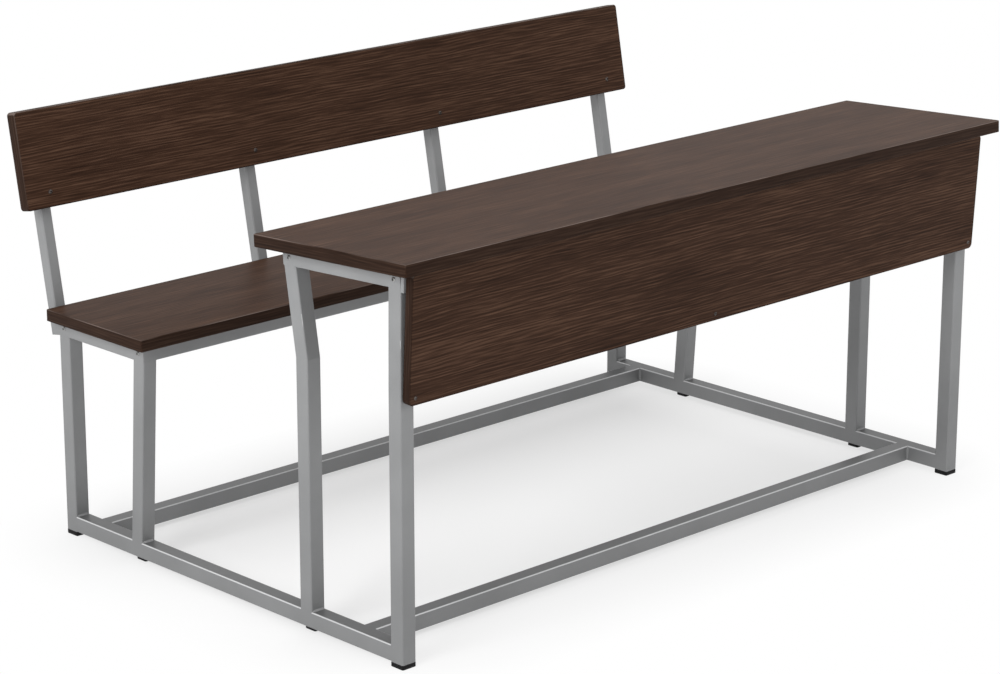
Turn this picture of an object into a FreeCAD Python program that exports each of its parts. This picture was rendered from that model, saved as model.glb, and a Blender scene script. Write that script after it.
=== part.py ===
"""School bench-and-desk unit: two welded tube end frames, rails between them and four laminated boards.

Millimetres. X runs along the desk, Y from the modesty panel back to the bench, Z up. The origin is on the
floor, under the middle of the whole unit. Heights are taken from the floor, and depths in the tables below
from the front faces of the front legs.
"""
import FreeCAD, Part
import math
import os
import re
import Sketcher

# Driving dimensions: name, value, what it measures
SIZES = (
    ("frame_length", 1560, "outside to outside of the two end frames"),
    ("frame_depth", 990, "front face of the front legs to rear face of the rear legs"),
    ("tube", 32, "side of the square frame tube"),
    ("wall", 1.6, "wall of every tube"),
    ("tube_corner", 3, "outer corner radius of every tube"),
    ("foot_height", 9, "underside of the frame above the floor"),
    ("foot_plug", 18, "length of a foot's plug inside its leg"),
    ("pad_length", 28, "length of a floor rail pad along the rail"),
    ("pad_width", 24, "width of a floor rail pad across the rail"),
    ("pad_pin", 6, "diameter of the pin on a floor rail pad"),
    ("pad_pin_length", 5, "length of the pin on a floor rail pad"),
    ("desk_rear_leg_place", 246, "front face of the desk rear legs"),
    ("seat_leg_place", 748, "front face of the seat legs at the floor rail"),
    ("seat_leg_lean", 24, "how far the seat legs lean forward over their height"),
    ("bend_height", 518, "height of the bend in the desk legs"),
    ("rear_flare", 30, "how far the desk rear legs lean back above the bend"),
    ("front_stretcher_place", 121, "middle of the front floor stretcher"),
    ("rear_stretcher_gap", 42, "clear gap from the rear floor stretcher to the rear legs"),
    ("seat_height", 464, "top of the seat board"),
    ("seat_length", 1610, "length of the seat board"),
    ("seat_overhang", 28, "seat board past the front of its rail"),
    ("seat_thickness", 24, "thickness of the seat board"),
    ("desk_height", 757, "front edge of the writing surface"),
    ("desk_slope", 3, "fall of the writing surface towards the bench, degrees"),
    ("desk_length", 1620, "length of the desk top"),
    ("desk_depth", 402, "depth of the desk top"),
    ("desk_overhang", 50, "desk top past the front legs"),
    ("desk_thickness", 24, "thickness of the desk top"),
    ("panel_low", 492, "lower edge of the modesty panel"),
    ("panel_length", 1552, "length of the modesty panel"),
    ("panel_thickness", 18, "thickness of the modesty panel"),
    ("panel_tilt", 3, "lean of the modesty panel, degrees"),
    ("panel_bar_height", 36, "height of the flat bar behind the panel"),
    ("panel_bar_thickness", 8, "thickness of the flat bar behind the panel"),
    ("panel_stay_width", 32, "width of the stay behind the middle of the panel"),
    ("post", 25, "side of the square back post tube"),
    ("post_length", 430, "length of a back post"),
    ("back_lean", 10.5, "lean of the back posts, degrees"),
    ("back_low", 250, "lower edge of the back board, along the posts"),
    ("back_height", 192, "height of the back board"),
    ("back_length", 1650, "length of the back board"),
    ("back_thickness", 24, "thickness of the back board"),
    ("board_corner", 7, "corner radius of the boards"),
    ("band_thickness", 2, "thickness of the edge bands"),
    ("band_round", 1.2, "rounding of the edge bands"),
    ("glue_gap", 0.1, "glue line between a board and its edge band"),
    ("fit_gap", 0.3, "clearance between pieces that seat on each other"),
    ("plate_thickness", 3, "thickness of the plates that close the side rails"),
    ("cap_thickness", 3, "thickness of a post cap above the tube"),
    ("cap_plug", 12, "length of a post cap's plug inside the tube"),
    ("rail_plug", 10, "length of the threaded plugs in the rail ends"),
    ("bolt", 5, "shank diameter of the bolts"),
    ("bolt_head", 9, "head diameter of the bolts"),
    ("bolt_head_height", 2.2, "head height of the bolts"),
    ("nut_width", 8, "width of a nut across its flats"),
    ("nut_height", 4.5, "height of a nut"),
    ("screw", 4.2, "shank diameter of the board screws"),
    ("screw_head", 7.5, "head diameter of the board screws"),
    ("screw_head_height", 1.8, "head height of the board screws"),
    ("screw_bite", 14, "how far a board screw reaches into a board of the seat or the desk"),
    ("panel_bite", 12, "how far a screw from behind reaches into the panel"),
    ("driver_hole", 16, "hole in the desk front rail that lets a driver reach the panel bar's screws"),
    ("panel_screw_rise", 14, "lower panel screws above the panel's lower edge"),
    ("panel_screw_inset", 18, "outer panel screws in from the ends of the frame"),
    ("panel_screw_reach", 10, "panel screws past the back of the panel"),
    ("back_bolt_rise", 30, "back board bolts above the board's lower edge"),
    ("back_bolt_spare", 2, "bolt thread left past its nut"),
    ("board_screw_inset", 60, "outer board screws in from the inner faces of the end frames"),
    ("hole_gap", 0.25, "clearance round a shank, on the radius"),
    ("overrun", 20, "how far a cut runs past what it cuts"),
)

# Places that follow from the driving dimensions: name and formula
WORKED = (
    ("floor_rail_top", "foot_height + tube"),
    ("inner_length", "frame_length - 2 * tube"),
    ("end_frame_middle", "(frame_length - tube) / 2"),
    ("bore", "tube - 2 * wall"),
    ("plug_side", "bore - 2 * fit_gap"),
    ("rear_leg_middle", "frame_depth - tube / 2"),
    ("rear_stretcher_place", "frame_depth - 3 * tube / 2 - rear_stretcher_gap"),
    ("seat_under", "seat_height - seat_thickness"),
    ("seat_rail_low", "seat_under - tube"),
    ("seat_rail_front", "seat_leg_place - seat_leg_lean"),
    ("seat_rail_length", "frame_depth - seat_rail_front"),
    ("seat_front_rail_middle", "seat_rail_front + tube / 2"),
    ("seat_rail_level", "seat_under - tube / 2"),
    ("seat_rear_edge", "frame_depth + tube * tan(back_lean)"),
    ("seat_depth", "seat_rear_edge - seat_rail_front + seat_overhang"),
    ("desk_under", "desk_height - desk_thickness / cos(desk_slope) - desk_overhang * tan(desk_slope)"),
    ("desk_rail_under", "desk_under - tube / cos(desk_slope)"),
    ("panel_rise_share", "cos(panel_tilt) - sin(panel_tilt) * tan(desk_slope)"),
    ("panel_height", "(desk_under - panel_low) / panel_rise_share - fit_gap"),
    ("panel_bar_top", "panel_height - panel_bar_thickness * (tan(panel_tilt) + tan(desk_slope))"),
    ("panel_bar_low", "panel_bar_top - panel_bar_height"),
    ("panel_bar_middle", "(panel_bar_top + panel_bar_low) / 2"),
    ("panel_bar_rise", "panel_bar_low * cos(panel_tilt) + panel_bar_thickness * sin(panel_tilt)"),
    ("panel_bar_level", "panel_low + panel_bar_rise"),
    ("front_lean", "panel_bar_low * sin(panel_tilt) - panel_bar_thickness * cos(panel_tilt)"),
    ("front_lean_share", "front_lean / (panel_bar_level - bend_height)"),
    ("upper_rise", "desk_rail_under + tube * tan(desk_slope) - bend_height"),
    ("desk_rail_front", "tube * tan(desk_slope) - front_lean_share * (desk_rail_under - bend_height)"),
    ("rear_flare_share", "rear_flare / upper_rise"),
    ("desk_rear_leg_rise", "upper_rise - desk_rear_leg_place * tan(desk_slope)"),
    ("desk_rear_leg_back", "desk_rear_leg_place + tube + rear_flare_share * desk_rear_leg_rise"),
    ("desk_rail_rear", "desk_rear_leg_back / cos(desk_slope) + tube * tan(desk_slope)"),
    ("desk_rail_length", "desk_rail_rear - desk_rail_front"),
    ("desk_front_rail_middle", "desk_rail_front + tube / 2"),
    ("desk_rear_rail_middle", "desk_rail_rear - tube / 2"),
    ("post_bore", "post - 2 * wall"),
    ("post_foot", "frame_depth + fit_gap"),
    ("post_spacing", "(frame_length - post) / 3"),
    ("back_bolt_level", "back_low + back_bolt_rise"),
    ("back_top", "back_low + back_height"),
    ("front_reach", "desk_overhang * cos(desk_slope)"),
    ("rear_reach", "post_foot + (post_length + cap_thickness) * sin(back_lean) + post * cos(back_lean)"),
    ("middle_depth", "(rear_reach - front_reach) / 2"),
    ("board_screw_span", "inner_length - 2 * board_screw_inset"),
)

SIDES = (("left", -1), ("right", 1))
BOARD_SCREW_SHARES = (-1 / 2, -1 / 6, 1 / 6, 1 / 2)
PANEL_BAR_SCREW_SHARES = (-1 / 3, 0, 1 / 3)
CROWN_SHARE = 2 / 3
POST_SHARES = (-3 / 2, -1 / 2, 1 / 2, 3 / 2)
POST_NAMES = ("left_end", "left_inner", "right_inner", "right_end")
DESK_RAIL_MIDDLES = ("desk_front_rail_middle", "desk_rear_rail_middle")
SEAT_RAIL_MIDDLES = ("seat_front_rail_middle", "rear_leg_middle")
NUT_SIDES = 6
X_AXIS = FreeCAD.Vector(1, 0, 0)
Y_AXIS = FreeCAD.Vector(0, 1, 0)
Z_AXIS = FreeCAD.Vector(0, 0, 1)

doc = FreeCAD.newDocument("SchoolDesk")
nodes = []


def fill_sheet(name, rows):
    """Make a sheet with one named cell per row."""
    sheet = doc.addObject("Spreadsheet::Sheet", name)
    for number, row in enumerate(rows, start=1):
        sheet.set(f"A{number}", row[0])
        sheet.set(f"B{number}", str(row[1]))
        sheet.setAlias(f"B{number}", row[0])
    return sheet


OWNER = {row[0]: "Sizes" for row in SIZES}
OWNER.update({row[0]: "Worked" for row in WORKED})


def formula(text, home=""):
    """Give a formula in plain names the sheet that each name belongs to."""
    def full(found):
        word = found.group(0)
        sheet = OWNER.get(word, home)
        return word if sheet == home else f"{sheet}.{word}"
    return re.sub(r"[a-z][a-z_]*", full, str(text))


fill_sheet("Sizes", SIZES)
fill_sheet("Worked", [(name, "=" + formula(text, "Worked")) for name, text in WORKED])
doc.recompute()


def bind(thing, prop, text):
    """Bind a property of an object to a formula."""
    thing.setExpression(prop, formula(text))


def place(thing, x, y, z, turn=None, axis=X_AXIS):
    """Put an object at a point of the unit, turned about an axis by an angle in degrees."""
    if turn is not None:
        thing.Placement = FreeCAD.Placement(FreeCAD.Vector(), FreeCAD.Rotation(axis, 1))
        bind(thing, "Placement.Rotation.Angle", turn)
    bind(thing, "Placement.Base.x", x)
    bind(thing, "Placement.Base.y", f"({y}) - middle_depth")
    bind(thing, "Placement.Base.z", z)


def tilted(y, z, turn, along, out):
    """Give the depth and height of a point in a frame that is turned about X."""
    depth = f"({y}) + ({along}) * cos({turn}) - ({out}) * sin({turn})"
    height = f"({z}) + ({along}) * sin({turn}) + ({out}) * cos({turn})"
    return depth, height


def node(thing, label):
    """Name an object as one of the pieces that are written out."""
    thing.Label = label
    nodes.append(thing)
    return thing


def loose_body(name):
    """Start a body that a group gathers with others like it."""
    return doc.addObject("PartDesign::Body", name)


def new_body(label):
    """Start a body that is a piece of its own."""
    return node(loose_body(label), label)


def new_sketch(body, name, role):
    """Start a sketch on one of a body's own planes."""
    plane = next(item for item in body.Origin.OriginFeatures if item.Role == role)
    sketch = body.newObject("Sketcher::SketchObject", name)
    sketch.AttachmentSupport = [(plane, "")]
    sketch.MapMode = "FlatFace"
    return sketch


def value(text):
    """Work out a formula with the sheets' present values."""
    return float(doc.Sizes.evalExpression(formula(text)))


def dimension(sketch, kind, arguments, text):
    """Add a dimension to a sketch and bind it to a formula."""
    index = sketch.addConstraint(Sketcher.Constraint(kind, *arguments, value(text)))
    sketch.setExpression(f"Constraints[{index}]", formula(text))


def pin_point(sketch, shape, end, along, up):
    """Fix one point of a sketch by its two distances from the sketch's origin."""
    dimension(sketch, "DistanceX", (-1, 1, shape, end), along)
    dimension(sketch, "DistanceY", (-1, 1, shape, end), up)


def draw_outline(sketch, points):
    """Draw a closed outline of straight lines through points given as formulas."""
    corners = [FreeCAD.Vector(value(along), value(up), 0) for along, up in points]
    first = sketch.GeometryCount
    count = len(corners)
    for index in range(count):
        sketch.addGeometry(Part.LineSegment(corners[index], corners[(index + 1) % count]), False)
    for index, (along, up) in enumerate(points):
        after = first + (index + 1) % count
        sketch.addConstraint(Sketcher.Constraint("Coincident", first + index, 2, after, 1))
        pin_point(sketch, first + index, 1, along, up)


def draw_box(sketch, width, height, along="0", up="0"):
    """Draw a sharp-cornered rectangle about a middle point."""
    left, right = f"({along}) - ({width}) / 2", f"({along}) + ({width}) / 2"
    low, high = f"({up}) - ({height}) / 2", f"({up}) + ({height}) / 2"
    draw_outline(sketch, ((left, low), (right, low), (right, high), (left, high)))


def draw_rounded_box(sketch, width, height, corner, along="0", up="0"):
    """Draw a rectangle with round corners about a middle point."""
    radius = value(corner)
    half_width, half_height = value(f"({width}) / 2") - radius, value(f"({height}) / 2") - radius
    middle = FreeCAD.Vector(value(along), value(up), 0)
    signs = ((1, 1), (-1, 1), (-1, -1), (1, -1))
    first = sketch.GeometryCount
    arcs = []
    quarter = math.radians(90)
    for turn, (side, level) in enumerate(signs):
        centre = middle + FreeCAD.Vector(side * half_width, level * half_height, 0)
        circle = Part.Circle(centre, Z_AXIS, radius)
        arcs.append(Part.ArcOfCircle(circle, turn * quarter, (turn + 1) * quarter))
    for index, arc in enumerate(arcs):
        after = arcs[(index + 1) % len(arcs)]
        sketch.addGeometry(arc, False)
        sketch.addGeometry(Part.LineSegment(arc.EndPoint, after.StartPoint), False)
    for index, (side, level) in enumerate(signs):
        arc, line = first + 2 * index, first + 2 * index + 1
        after = first + 2 * ((index + 1) % len(signs))
        sketch.addConstraint(Sketcher.Constraint("Tangent", arc, 2, line, 1))
        sketch.addConstraint(Sketcher.Constraint("Tangent", line, 2, after, 1))
        pin_point(
            sketch, arc, 3,
            f"({along}) + {side} * (({width}) / 2 - ({corner}))",
            f"({up}) + {level} * (({height}) / 2 - ({corner}))",
        )
        dimension(sketch, "Radius", (arc,), corner)


def draw_circle(sketch, radius, along="0", up="0"):
    """Draw a circle about a middle point."""
    middle = FreeCAD.Vector(value(along), value(up), 0)
    shape = sketch.addGeometry(Part.Circle(middle, Z_AXIS, value(radius)), False)
    pin_point(sketch, shape, 3, along, up)
    dimension(sketch, "Radius", (shape,), radius)


def draw_tube(sketch, side, bore, along="0", up="0"):
    """Draw the section of a square tube: round outer corners and a square bore."""
    draw_rounded_box(sketch, side, side, "tube_corner", along, up)
    draw_box(sketch, bore, bore, along, up)


def pad(body, sketch, length, symmetric=False, reverse=False):
    """Raise a sketch into a solid."""
    feature = body.newObject("PartDesign::Pad", sketch.Name + "Pad")
    feature.Profile = sketch
    feature.SideType = "Symmetric" if symmetric else "One side"
    feature.Reversed = reverse
    bind(feature, "Length", length)
    return feature


def slanted_pad(body, sketch, rise, run):
    """Raise a sketch that lies flat along a slant, so that both ends stay level."""
    feature = pad(body, sketch, rise)
    feature.UseCustomVector = True
    feature.AlongSketchNormal = True
    feature.Direction = FreeCAD.Vector(0, value(run), value(rise))
    bind(feature, "Direction.y", run)
    bind(feature, "Direction.z", rise)
    return feature


def cut(body, sketch, length=None, reverse=False):
    """Cut a sketch out of a body, right through both ways or to a depth on one side."""
    before = body.Shape.Volume
    feature = body.newObject("PartDesign::Pocket", sketch.Name + "Cut")
    feature.Profile = sketch
    if length is None:
        feature.SideType = "Symmetric"
        feature.Type = "ThroughAll"
    else:
        feature.Reversed = reverse
        bind(feature, "Length", length)
    doc.recompute()
    if not body.Shape.Volume < before:
        raise RuntimeError(f"{feature.Name} cuts nothing")
    return feature


def drill(body, name, role, points, diameter, length=None, reverse=False):
    """Drill holes through a body, square to one of its planes."""
    doc.recompute()
    sketch = new_sketch(body, name, role)
    for along, up in points:
        draw_circle(sketch, f"({diameter}) / 2 + hole_gap", along, up)
    return cut(body, sketch, length, reverse)


def lying_tube(label, role, length):
    """Make a level frame tube about its own middle, square to the plane that is named."""
    body = new_body(label)
    sketch = new_sketch(body, label + "_section", role)
    draw_tube(sketch, "tube", "bore")
    pad(body, sketch, length, symmetric=True)
    return body


def board_screw_places():
    """Give the places along a rail of the screws that hold a board from below."""
    return [f"{share} * board_screw_span" for share in BOARD_SCREW_SHARES]


def panel_bar_screw_places():
    """Give the places along the panel bar of the screws that hold the panel from behind."""
    return [f"{share} * board_screw_span" for share in PANEL_BAR_SCREW_SHARES]


# End frames

def floor_rail(side, sign):
    """Make the rail that joins the front and rear legs of an end frame just above the floor."""
    body = lying_tube(f"{side}_floor_rail", "XZ_Plane", "frame_depth - 2 * tube")
    place(body, f"{sign} * end_frame_middle", "frame_depth / 2", "foot_height + tube / 2")
    middles = [f"{spot} + tube / 2 - frame_depth / 2" for spot in ("desk_rear_leg_place", "seat_leg_place")]
    drill(body, f"{side}_pad_holes", "XY_Plane", [("0", middle) for middle in middles], "pad_pin", "tube")
    return body


def straight_leg(label):
    """Start a leg that stands on the middle of its own foot."""
    body = new_body(label)
    sketch = new_sketch(body, label + "_section", "XY_Plane")
    draw_tube(sketch, "tube", "bore")
    return body, sketch


def rear_leg(side, sign):
    """Make the upright leg under the rear of the seat."""
    body, sketch = straight_leg(f"{side}_rear_leg")
    pad(body, sketch, "seat_rail_low - foot_height")
    place(body, f"{sign} * end_frame_middle", "rear_leg_middle", "foot_height")


def seat_leg(side, sign):
    """Make the leg under the front of the seat, which leans forward."""
    body, sketch = straight_leg(f"{side}_seat_leg")
    slanted_pad(body, sketch, "seat_rail_low - floor_rail_top", "-seat_leg_lean")
    place(body, f"{sign} * end_frame_middle", "seat_leg_place + tube / 2", "floor_rail_top")


def bent_leg(label, foot, spot, slant):
    """Make a desk leg: upright to the bend, slanted above it and cut off under the sloping desk rail."""
    body, sketch = straight_leg(label)
    pad(body, sketch, f"bend_height - {foot}")
    upper = new_sketch(body, label + "_upper_section", "XY_Plane")
    upper.AttachmentOffset = FreeCAD.Placement(FreeCAD.Vector(0, 0, 1), FreeCAD.Rotation())
    bind(upper, "AttachmentOffset.Base.z", f"bend_height - {foot}")
    draw_tube(upper, "tube", "bore")
    slanted_pad(body, upper, "upper_rise", f"{slant} * upper_rise")
    doc.recompute()
    middle = f"({spot} + tube / 2)"
    front, rear = "-(tube + overrun)", "tube + upper_rise + overrun"
    under = [f"desk_rail_under - {foot} - ({middle} + ({edge})) * tan(desk_slope)" for edge in (front, rear)]
    above = f"desk_rail_under - {foot} + tube + overrun"
    top = new_sketch(body, label + "_top", "YZ_Plane")
    draw_outline(top, ((front, under[0]), (rear, under[1]), (rear, above), (front, above)))
    cut(body, top)
    return body, middle


def desk_rear_leg(side, sign):
    """Make the leg under the pupil's edge of the desk."""
    label = f"{side}_desk_rear_leg"
    body, middle = bent_leg(label, "floor_rail_top", "desk_rear_leg_place", "rear_flare_share")
    place(body, f"{sign} * end_frame_middle", middle, "floor_rail_top")


def desk_front_leg(side, sign):
    """Make the leg behind the modesty panel, with the hole for the panel's screw."""
    label = f"{side}_desk_front_leg"
    body, middle = bent_leg(label, "foot_height", "0", "-front_lean_share")
    level = "panel_low + panel_screw_rise - foot_height"
    across = f"{sign} * (tube / 2 - panel_screw_inset)"
    drill(body, f"{side}_panel_hole", "XZ_Plane", [(across, level)], "screw", "tube", reverse=True)
    place(body, f"{sign} * end_frame_middle", middle, "foot_height")


def seat_side_rail(side, sign):
    """Make the rail under the end of the seat, drilled for the bolts of the long rails."""
    body = lying_tube(f"{side}_seat_side_rail", "XZ_Plane", "seat_rail_length")
    ends = [f"{end} * (seat_rail_length - tube) / 2" for end in (-1, 1)]
    drill(body, f"{side}_seat_bolt_holes", "YZ_Plane", [(end, "0") for end in ends], "bolt")
    place(body, f"{sign} * end_frame_middle", "seat_rail_front + seat_rail_length / 2", "seat_rail_level")


def desk_point(along, out):
    """Give the depth and height of a point measured along and out of the underside of the desk top."""
    return tilted("0", "desk_under", "-desk_slope", along, out)


def desk_side_rail(side, sign):
    """Make the sloping rail under the end of the desk top, drilled for the bolts of the long rails."""
    body = lying_tube(f"{side}_desk_side_rail", "XZ_Plane", "desk_rail_length")
    ends = [f"{end} * (desk_rail_length - tube) / 2" for end in (-1, 1)]
    drill(body, f"{side}_desk_bolt_holes", "YZ_Plane", [(end, "0") for end in ends], "bolt")
    depth, height = desk_point("(desk_rail_front + desk_rail_rear) / 2", "-tube / 2")
    place(body, f"{sign} * end_frame_middle", depth, height, "-desk_slope")


# Feet and pads

def foot(label, across, middle):
    """Make a plastic foot: a pad under the leg and a plug that sits in its bore."""
    body = new_body(label)
    tread = new_sketch(body, label + "_tread", "XY_Plane")
    draw_rounded_box(tread, "tube", "tube", "tube_corner")
    pad(body, tread, "foot_height")
    plug = new_sketch(body, label + "_plug", "XY_Plane")
    draw_box(plug, "plug_side", "plug_side")
    pad(body, plug, "foot_height + foot_plug")
    place(body, across, middle, "0")


def floor_pad(label, across, spot):
    """Make a small pad under a floor rail, held by a pin in the rail's lower wall."""
    body = new_body(label)
    tread = new_sketch(body, label + "_tread", "XY_Plane")
    draw_rounded_box(tread, "pad_width", "pad_length", "tube_corner")
    pad(body, tread, "foot_height")
    pin = new_sketch(body, label + "_pin", "XY_Plane")
    draw_circle(pin, "pad_pin / 2")
    pad(body, pin, "foot_height + pad_pin_length")
    place(body, across, f"{spot} + tube / 2", "0")


# Rails between the end frames

def seat_rail(label, middle):
    """Make a long rail under the seat, drilled for the seat's screws."""
    body = lying_tube(label, "YZ_Plane", "inner_length")
    drill(body, label + "_holes", "XY_Plane", [(spot, "0") for spot in board_screw_places()], "screw")
    place(body, "0", middle, "seat_rail_level")


def desk_rail(label, along):
    """Make a long rail under the desk top, drilled for the desk top's screws."""
    body = lying_tube(label, "YZ_Plane", "inner_length")
    drill(body, label + "_holes", "XY_Plane", [(spot, "0") for spot in board_screw_places()], "screw")
    depth, height = desk_point(along, "-tube / 2")
    place(body, "0", depth, height, "-desk_slope")
    return body


def desk_front_rail():
    """Make the desk rail behind the panel bar, with holes that let a driver reach the bar's screws."""
    body = desk_rail("desk_front_rail", "desk_front_rail_middle")
    spots = [(spot, "0") for spot in panel_bar_screw_places()]
    drill(body, "desk_front_rail_driver_holes", "XZ_Plane", spots, "driver_hole")


def stretcher(label, middle):
    """Make a rail between the two floor rails."""
    body = lying_tube(label, "YZ_Plane", "inner_length")
    place(body, "0", middle, "foot_height + tube / 2")


def panel_point(up, out):
    """Give the depth and height of a point measured up and behind the back of the panel."""
    return tilted("-fit_gap", "panel_low", "panel_tilt", out, up)


def panel_bar():
    """Make the flat bar that holds the top of the panel off the front legs."""
    body = new_body("panel_bar")
    sketch = new_sketch(body, "panel_bar_section", "YZ_Plane")
    draw_box(sketch, "panel_bar_thickness", "panel_bar_height",
             "panel_bar_thickness / 2", "panel_bar_middle")
    pad(body, sketch, "frame_length", symmetric=True)
    spots = [(spot, "panel_bar_middle") for spot in panel_bar_screw_places()]
    drill(body, "panel_bar_holes", "XZ_Plane", spots, "screw")
    place(body, "0", "-fit_gap", "panel_low", "panel_tilt")


def panel_stay():
    """Make the short stay that the panel's middle screw goes into."""
    body = new_body("panel_stay")
    sketch = new_sketch(body, "panel_stay_section", "YZ_Plane")
    low = "panel_screw_rise - screw_head / 2"
    draw_box(sketch, "panel_bar_thickness", f"panel_bar_low - ({low})",
             "panel_bar_thickness / 2", f"(panel_bar_low + {low}) / 2")
    pad(body, sketch, "panel_stay_width", symmetric=True)
    drill(body, "panel_stay_hole", "XZ_Plane", [("0", "panel_screw_rise")], "screw")
    place(body, "0", "-fit_gap", "panel_low", "panel_tilt")


# Back posts

def back_post(name, share):
    """Make a leaning back post, drilled for the back board's bolt."""
    label = f"{name}_back_post"
    body = new_body(label)
    sketch = new_sketch(body, label + "_section", "XY_Plane")
    draw_tube(sketch, "post", "post_bore", "0", "post / 2")
    pad(body, sketch, "post_length")
    drill(body, label + "_hole", "XZ_Plane", [("0", "back_bolt_level")], "bolt")
    place(body, f"{share} * post_spacing", "post_foot", "seat_rail_low", "-back_lean")


def back_point(up, out):
    """Give the depth and height of a point measured up and behind the front faces of the posts."""
    return tilted("post_foot", "seat_rail_low", "-back_lean", out, up)


# Boards and their edge bands

def board(label, role, width, height, thickness, along, up, reverse):
    """Make a board without its edge band, on one side of a plane."""
    body = new_body(label)
    sketch = new_sketch(body, label + "_face", role)
    draw_rounded_box(sketch, f"({width}) - 2 * band_thickness", f"({height}) - 2 * band_thickness",
                     "board_corner - band_thickness", along, up)
    pad(body, sketch, thickness, reverse=reverse)
    return body


def edge_band(label, role, width, height, thickness, along, up, reverse):
    """Make the band round a board, with its outer edges eased."""
    body = new_body(label)
    sketch = new_sketch(body, label + "_ring", role)
    draw_rounded_box(sketch, width, height, "board_corner", along, up)
    inner = "(band_thickness - glue_gap)"
    draw_rounded_box(sketch, f"({width}) - 2 * {inner}", f"({height}) - 2 * {inner}",
                     f"board_corner - {inner}", along, up)
    ring = pad(body, sketch, thickness, reverse=reverse)
    doc.recompute()
    by_size = sorted(ring.Shape.Faces, key=lambda face: face.OuterWire.BoundBox.DiagonalLength)
    rims = [edge for face in by_size[-2:] for edge in face.OuterWire.Edges]
    names = []
    for number, edge in enumerate(ring.Shape.Edges, start=1):
        if any(edge.isSame(rim) for rim in rims):
            names.append(f"Edge{number}")
    eased = body.newObject("PartDesign::Fillet", label + "_eased")
    eased.Base = (ring, names)
    bind(eased, "Radius", "band_round")
    return body


def banded_board(label, role, width, height, thickness, along, up, reverse, spot):
    """Make a board and its edge band at the same place."""
    outline = (role, width, height, thickness, along, up, reverse)
    body = board(label, *outline)
    band = edge_band(f"{label}_edge_band", *outline)
    for piece in (body, band):
        place(piece, *spot)
    return body


def desk_top():
    """Make the writing board, drilled from below for the screws of both desk rails."""
    middle = "desk_depth / 2 - desk_overhang"
    spot = ("0", "0", "desk_under", "-desk_slope")
    body = banded_board("desk_top", "XY_Plane", "desk_length", "desk_depth", "desk_thickness",
                        "0", middle, False, spot)
    points = [(along, row) for row in DESK_RAIL_MIDDLES for along in board_screw_places()]
    drill(body, "desk_top_holes", "XY_Plane", points, "screw", "screw_bite + fit_gap", reverse=True)


def seat_board():
    """Make the seat board, drilled from below for the screws of both seat rails."""
    spot = ("0", "seat_rail_front - seat_overhang", "seat_under")
    body = banded_board("seat_board", "XY_Plane", "seat_length", "seat_depth", "seat_thickness",
                        "0", "seat_depth / 2", False, spot)
    rows = [f"{middle} - seat_rail_front + seat_overhang" for middle in SEAT_RAIL_MIDDLES]
    points = [(along, row) for row in rows for along in board_screw_places()]
    drill(body, "seat_board_holes", "XY_Plane", points, "screw", "screw_bite + fit_gap", reverse=True)


def modesty_panel():
    """Make the front panel, drilled for its lower screws and, from behind, for the panel bar's screws."""
    spot = ("0", "-fit_gap", "panel_low", "panel_tilt")
    body = banded_board("modesty_panel", "XZ_Plane", "panel_length", "panel_height", "panel_thickness",
                        "0", "panel_height / 2", False, spot)
    lower = [(across, "panel_screw_rise") for across in panel_screw_places()]
    drill(body, "panel_lower_holes", "XZ_Plane", lower, "screw")
    upper = [(across, "panel_bar_middle") for across in panel_bar_screw_places()]
    drill(body, "panel_upper_holes", "XZ_Plane", upper, "screw", "panel_bite + fit_gap", reverse=True)


def panel_screw_places():
    """Give the places of the three lower panel screws along the desk."""
    reach = "(frame_length / 2 - panel_screw_inset)"
    return [f"{share} * {reach}" for share in (-1, 0, 1)]


def back_board():
    """Make the back board, drilled for one bolt at each post."""
    spot = ("0", "post_foot", "seat_rail_low", "-back_lean")
    body = banded_board("back_board", "XZ_Plane", "back_length", "back_height", "back_thickness",
                        "0", "(back_low + back_top) / 2", False, spot)
    points = [(f"{share} * post_spacing", "back_bolt_level") for share in POST_SHARES]
    drill(body, "back_board_holes", "XZ_Plane", points, "bolt")


# Fasteners and closures, each node a group of like pieces

def group(label, pieces):
    """Gather like pieces in one node."""
    gathered = doc.addObject("Part::Compound", label)
    gathered.Links = pieces
    return node(gathered, label)


def headed_pin(name, head, head_height, shank, length):
    """Make a screw or bolt: a low domed head above its seat and a plain shank below it."""
    crown = doc.addObject("Part::Cone", name + "_head")
    bind(crown, "Radius1", f"({head}) / 2")
    bind(crown, "Radius2", f"{CROWN_SHARE} * ({head}) / 2")
    bind(crown, "Height", head_height)
    stem = doc.addObject("Part::Cylinder", name + "_shank")
    bind(stem, "Radius", f"({shank}) / 2")
    bind(stem, "Height", length)
    bind(stem, "Placement.Base.z", f"-({length})")
    whole = doc.addObject("Part::Fuse", name)
    whole.Base = crown
    whole.Tool = stem
    return whole


def drilled(name, solid, diameter, height):
    """Bore a hole up the middle of a solid that stands on its own base."""
    drill_rod = doc.addObject("Part::Cylinder", name + "_bore")
    bind(drill_rod, "Radius", f"({diameter}) / 2 + hole_gap")
    bind(drill_rod, "Height", f"({height}) + 2 * overrun")
    bind(drill_rod, "Placement.Base.z", "-overrun")
    bored = doc.addObject("Part::Cut", name)
    bored.Base = solid
    bored.Tool = drill_rod
    return bored


def nut(name):
    """Make a six-sided nut on its own base."""
    prism = doc.addObject("Part::Prism", name + "_prism")
    prism.Polygon = NUT_SIDES
    bind(prism, "Circumradius", f"nut_width / 2 / cos({180 / NUT_SIDES})")
    bind(prism, "Height", "nut_height")
    return drilled(name, prism, "bolt", "nut_height")


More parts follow.
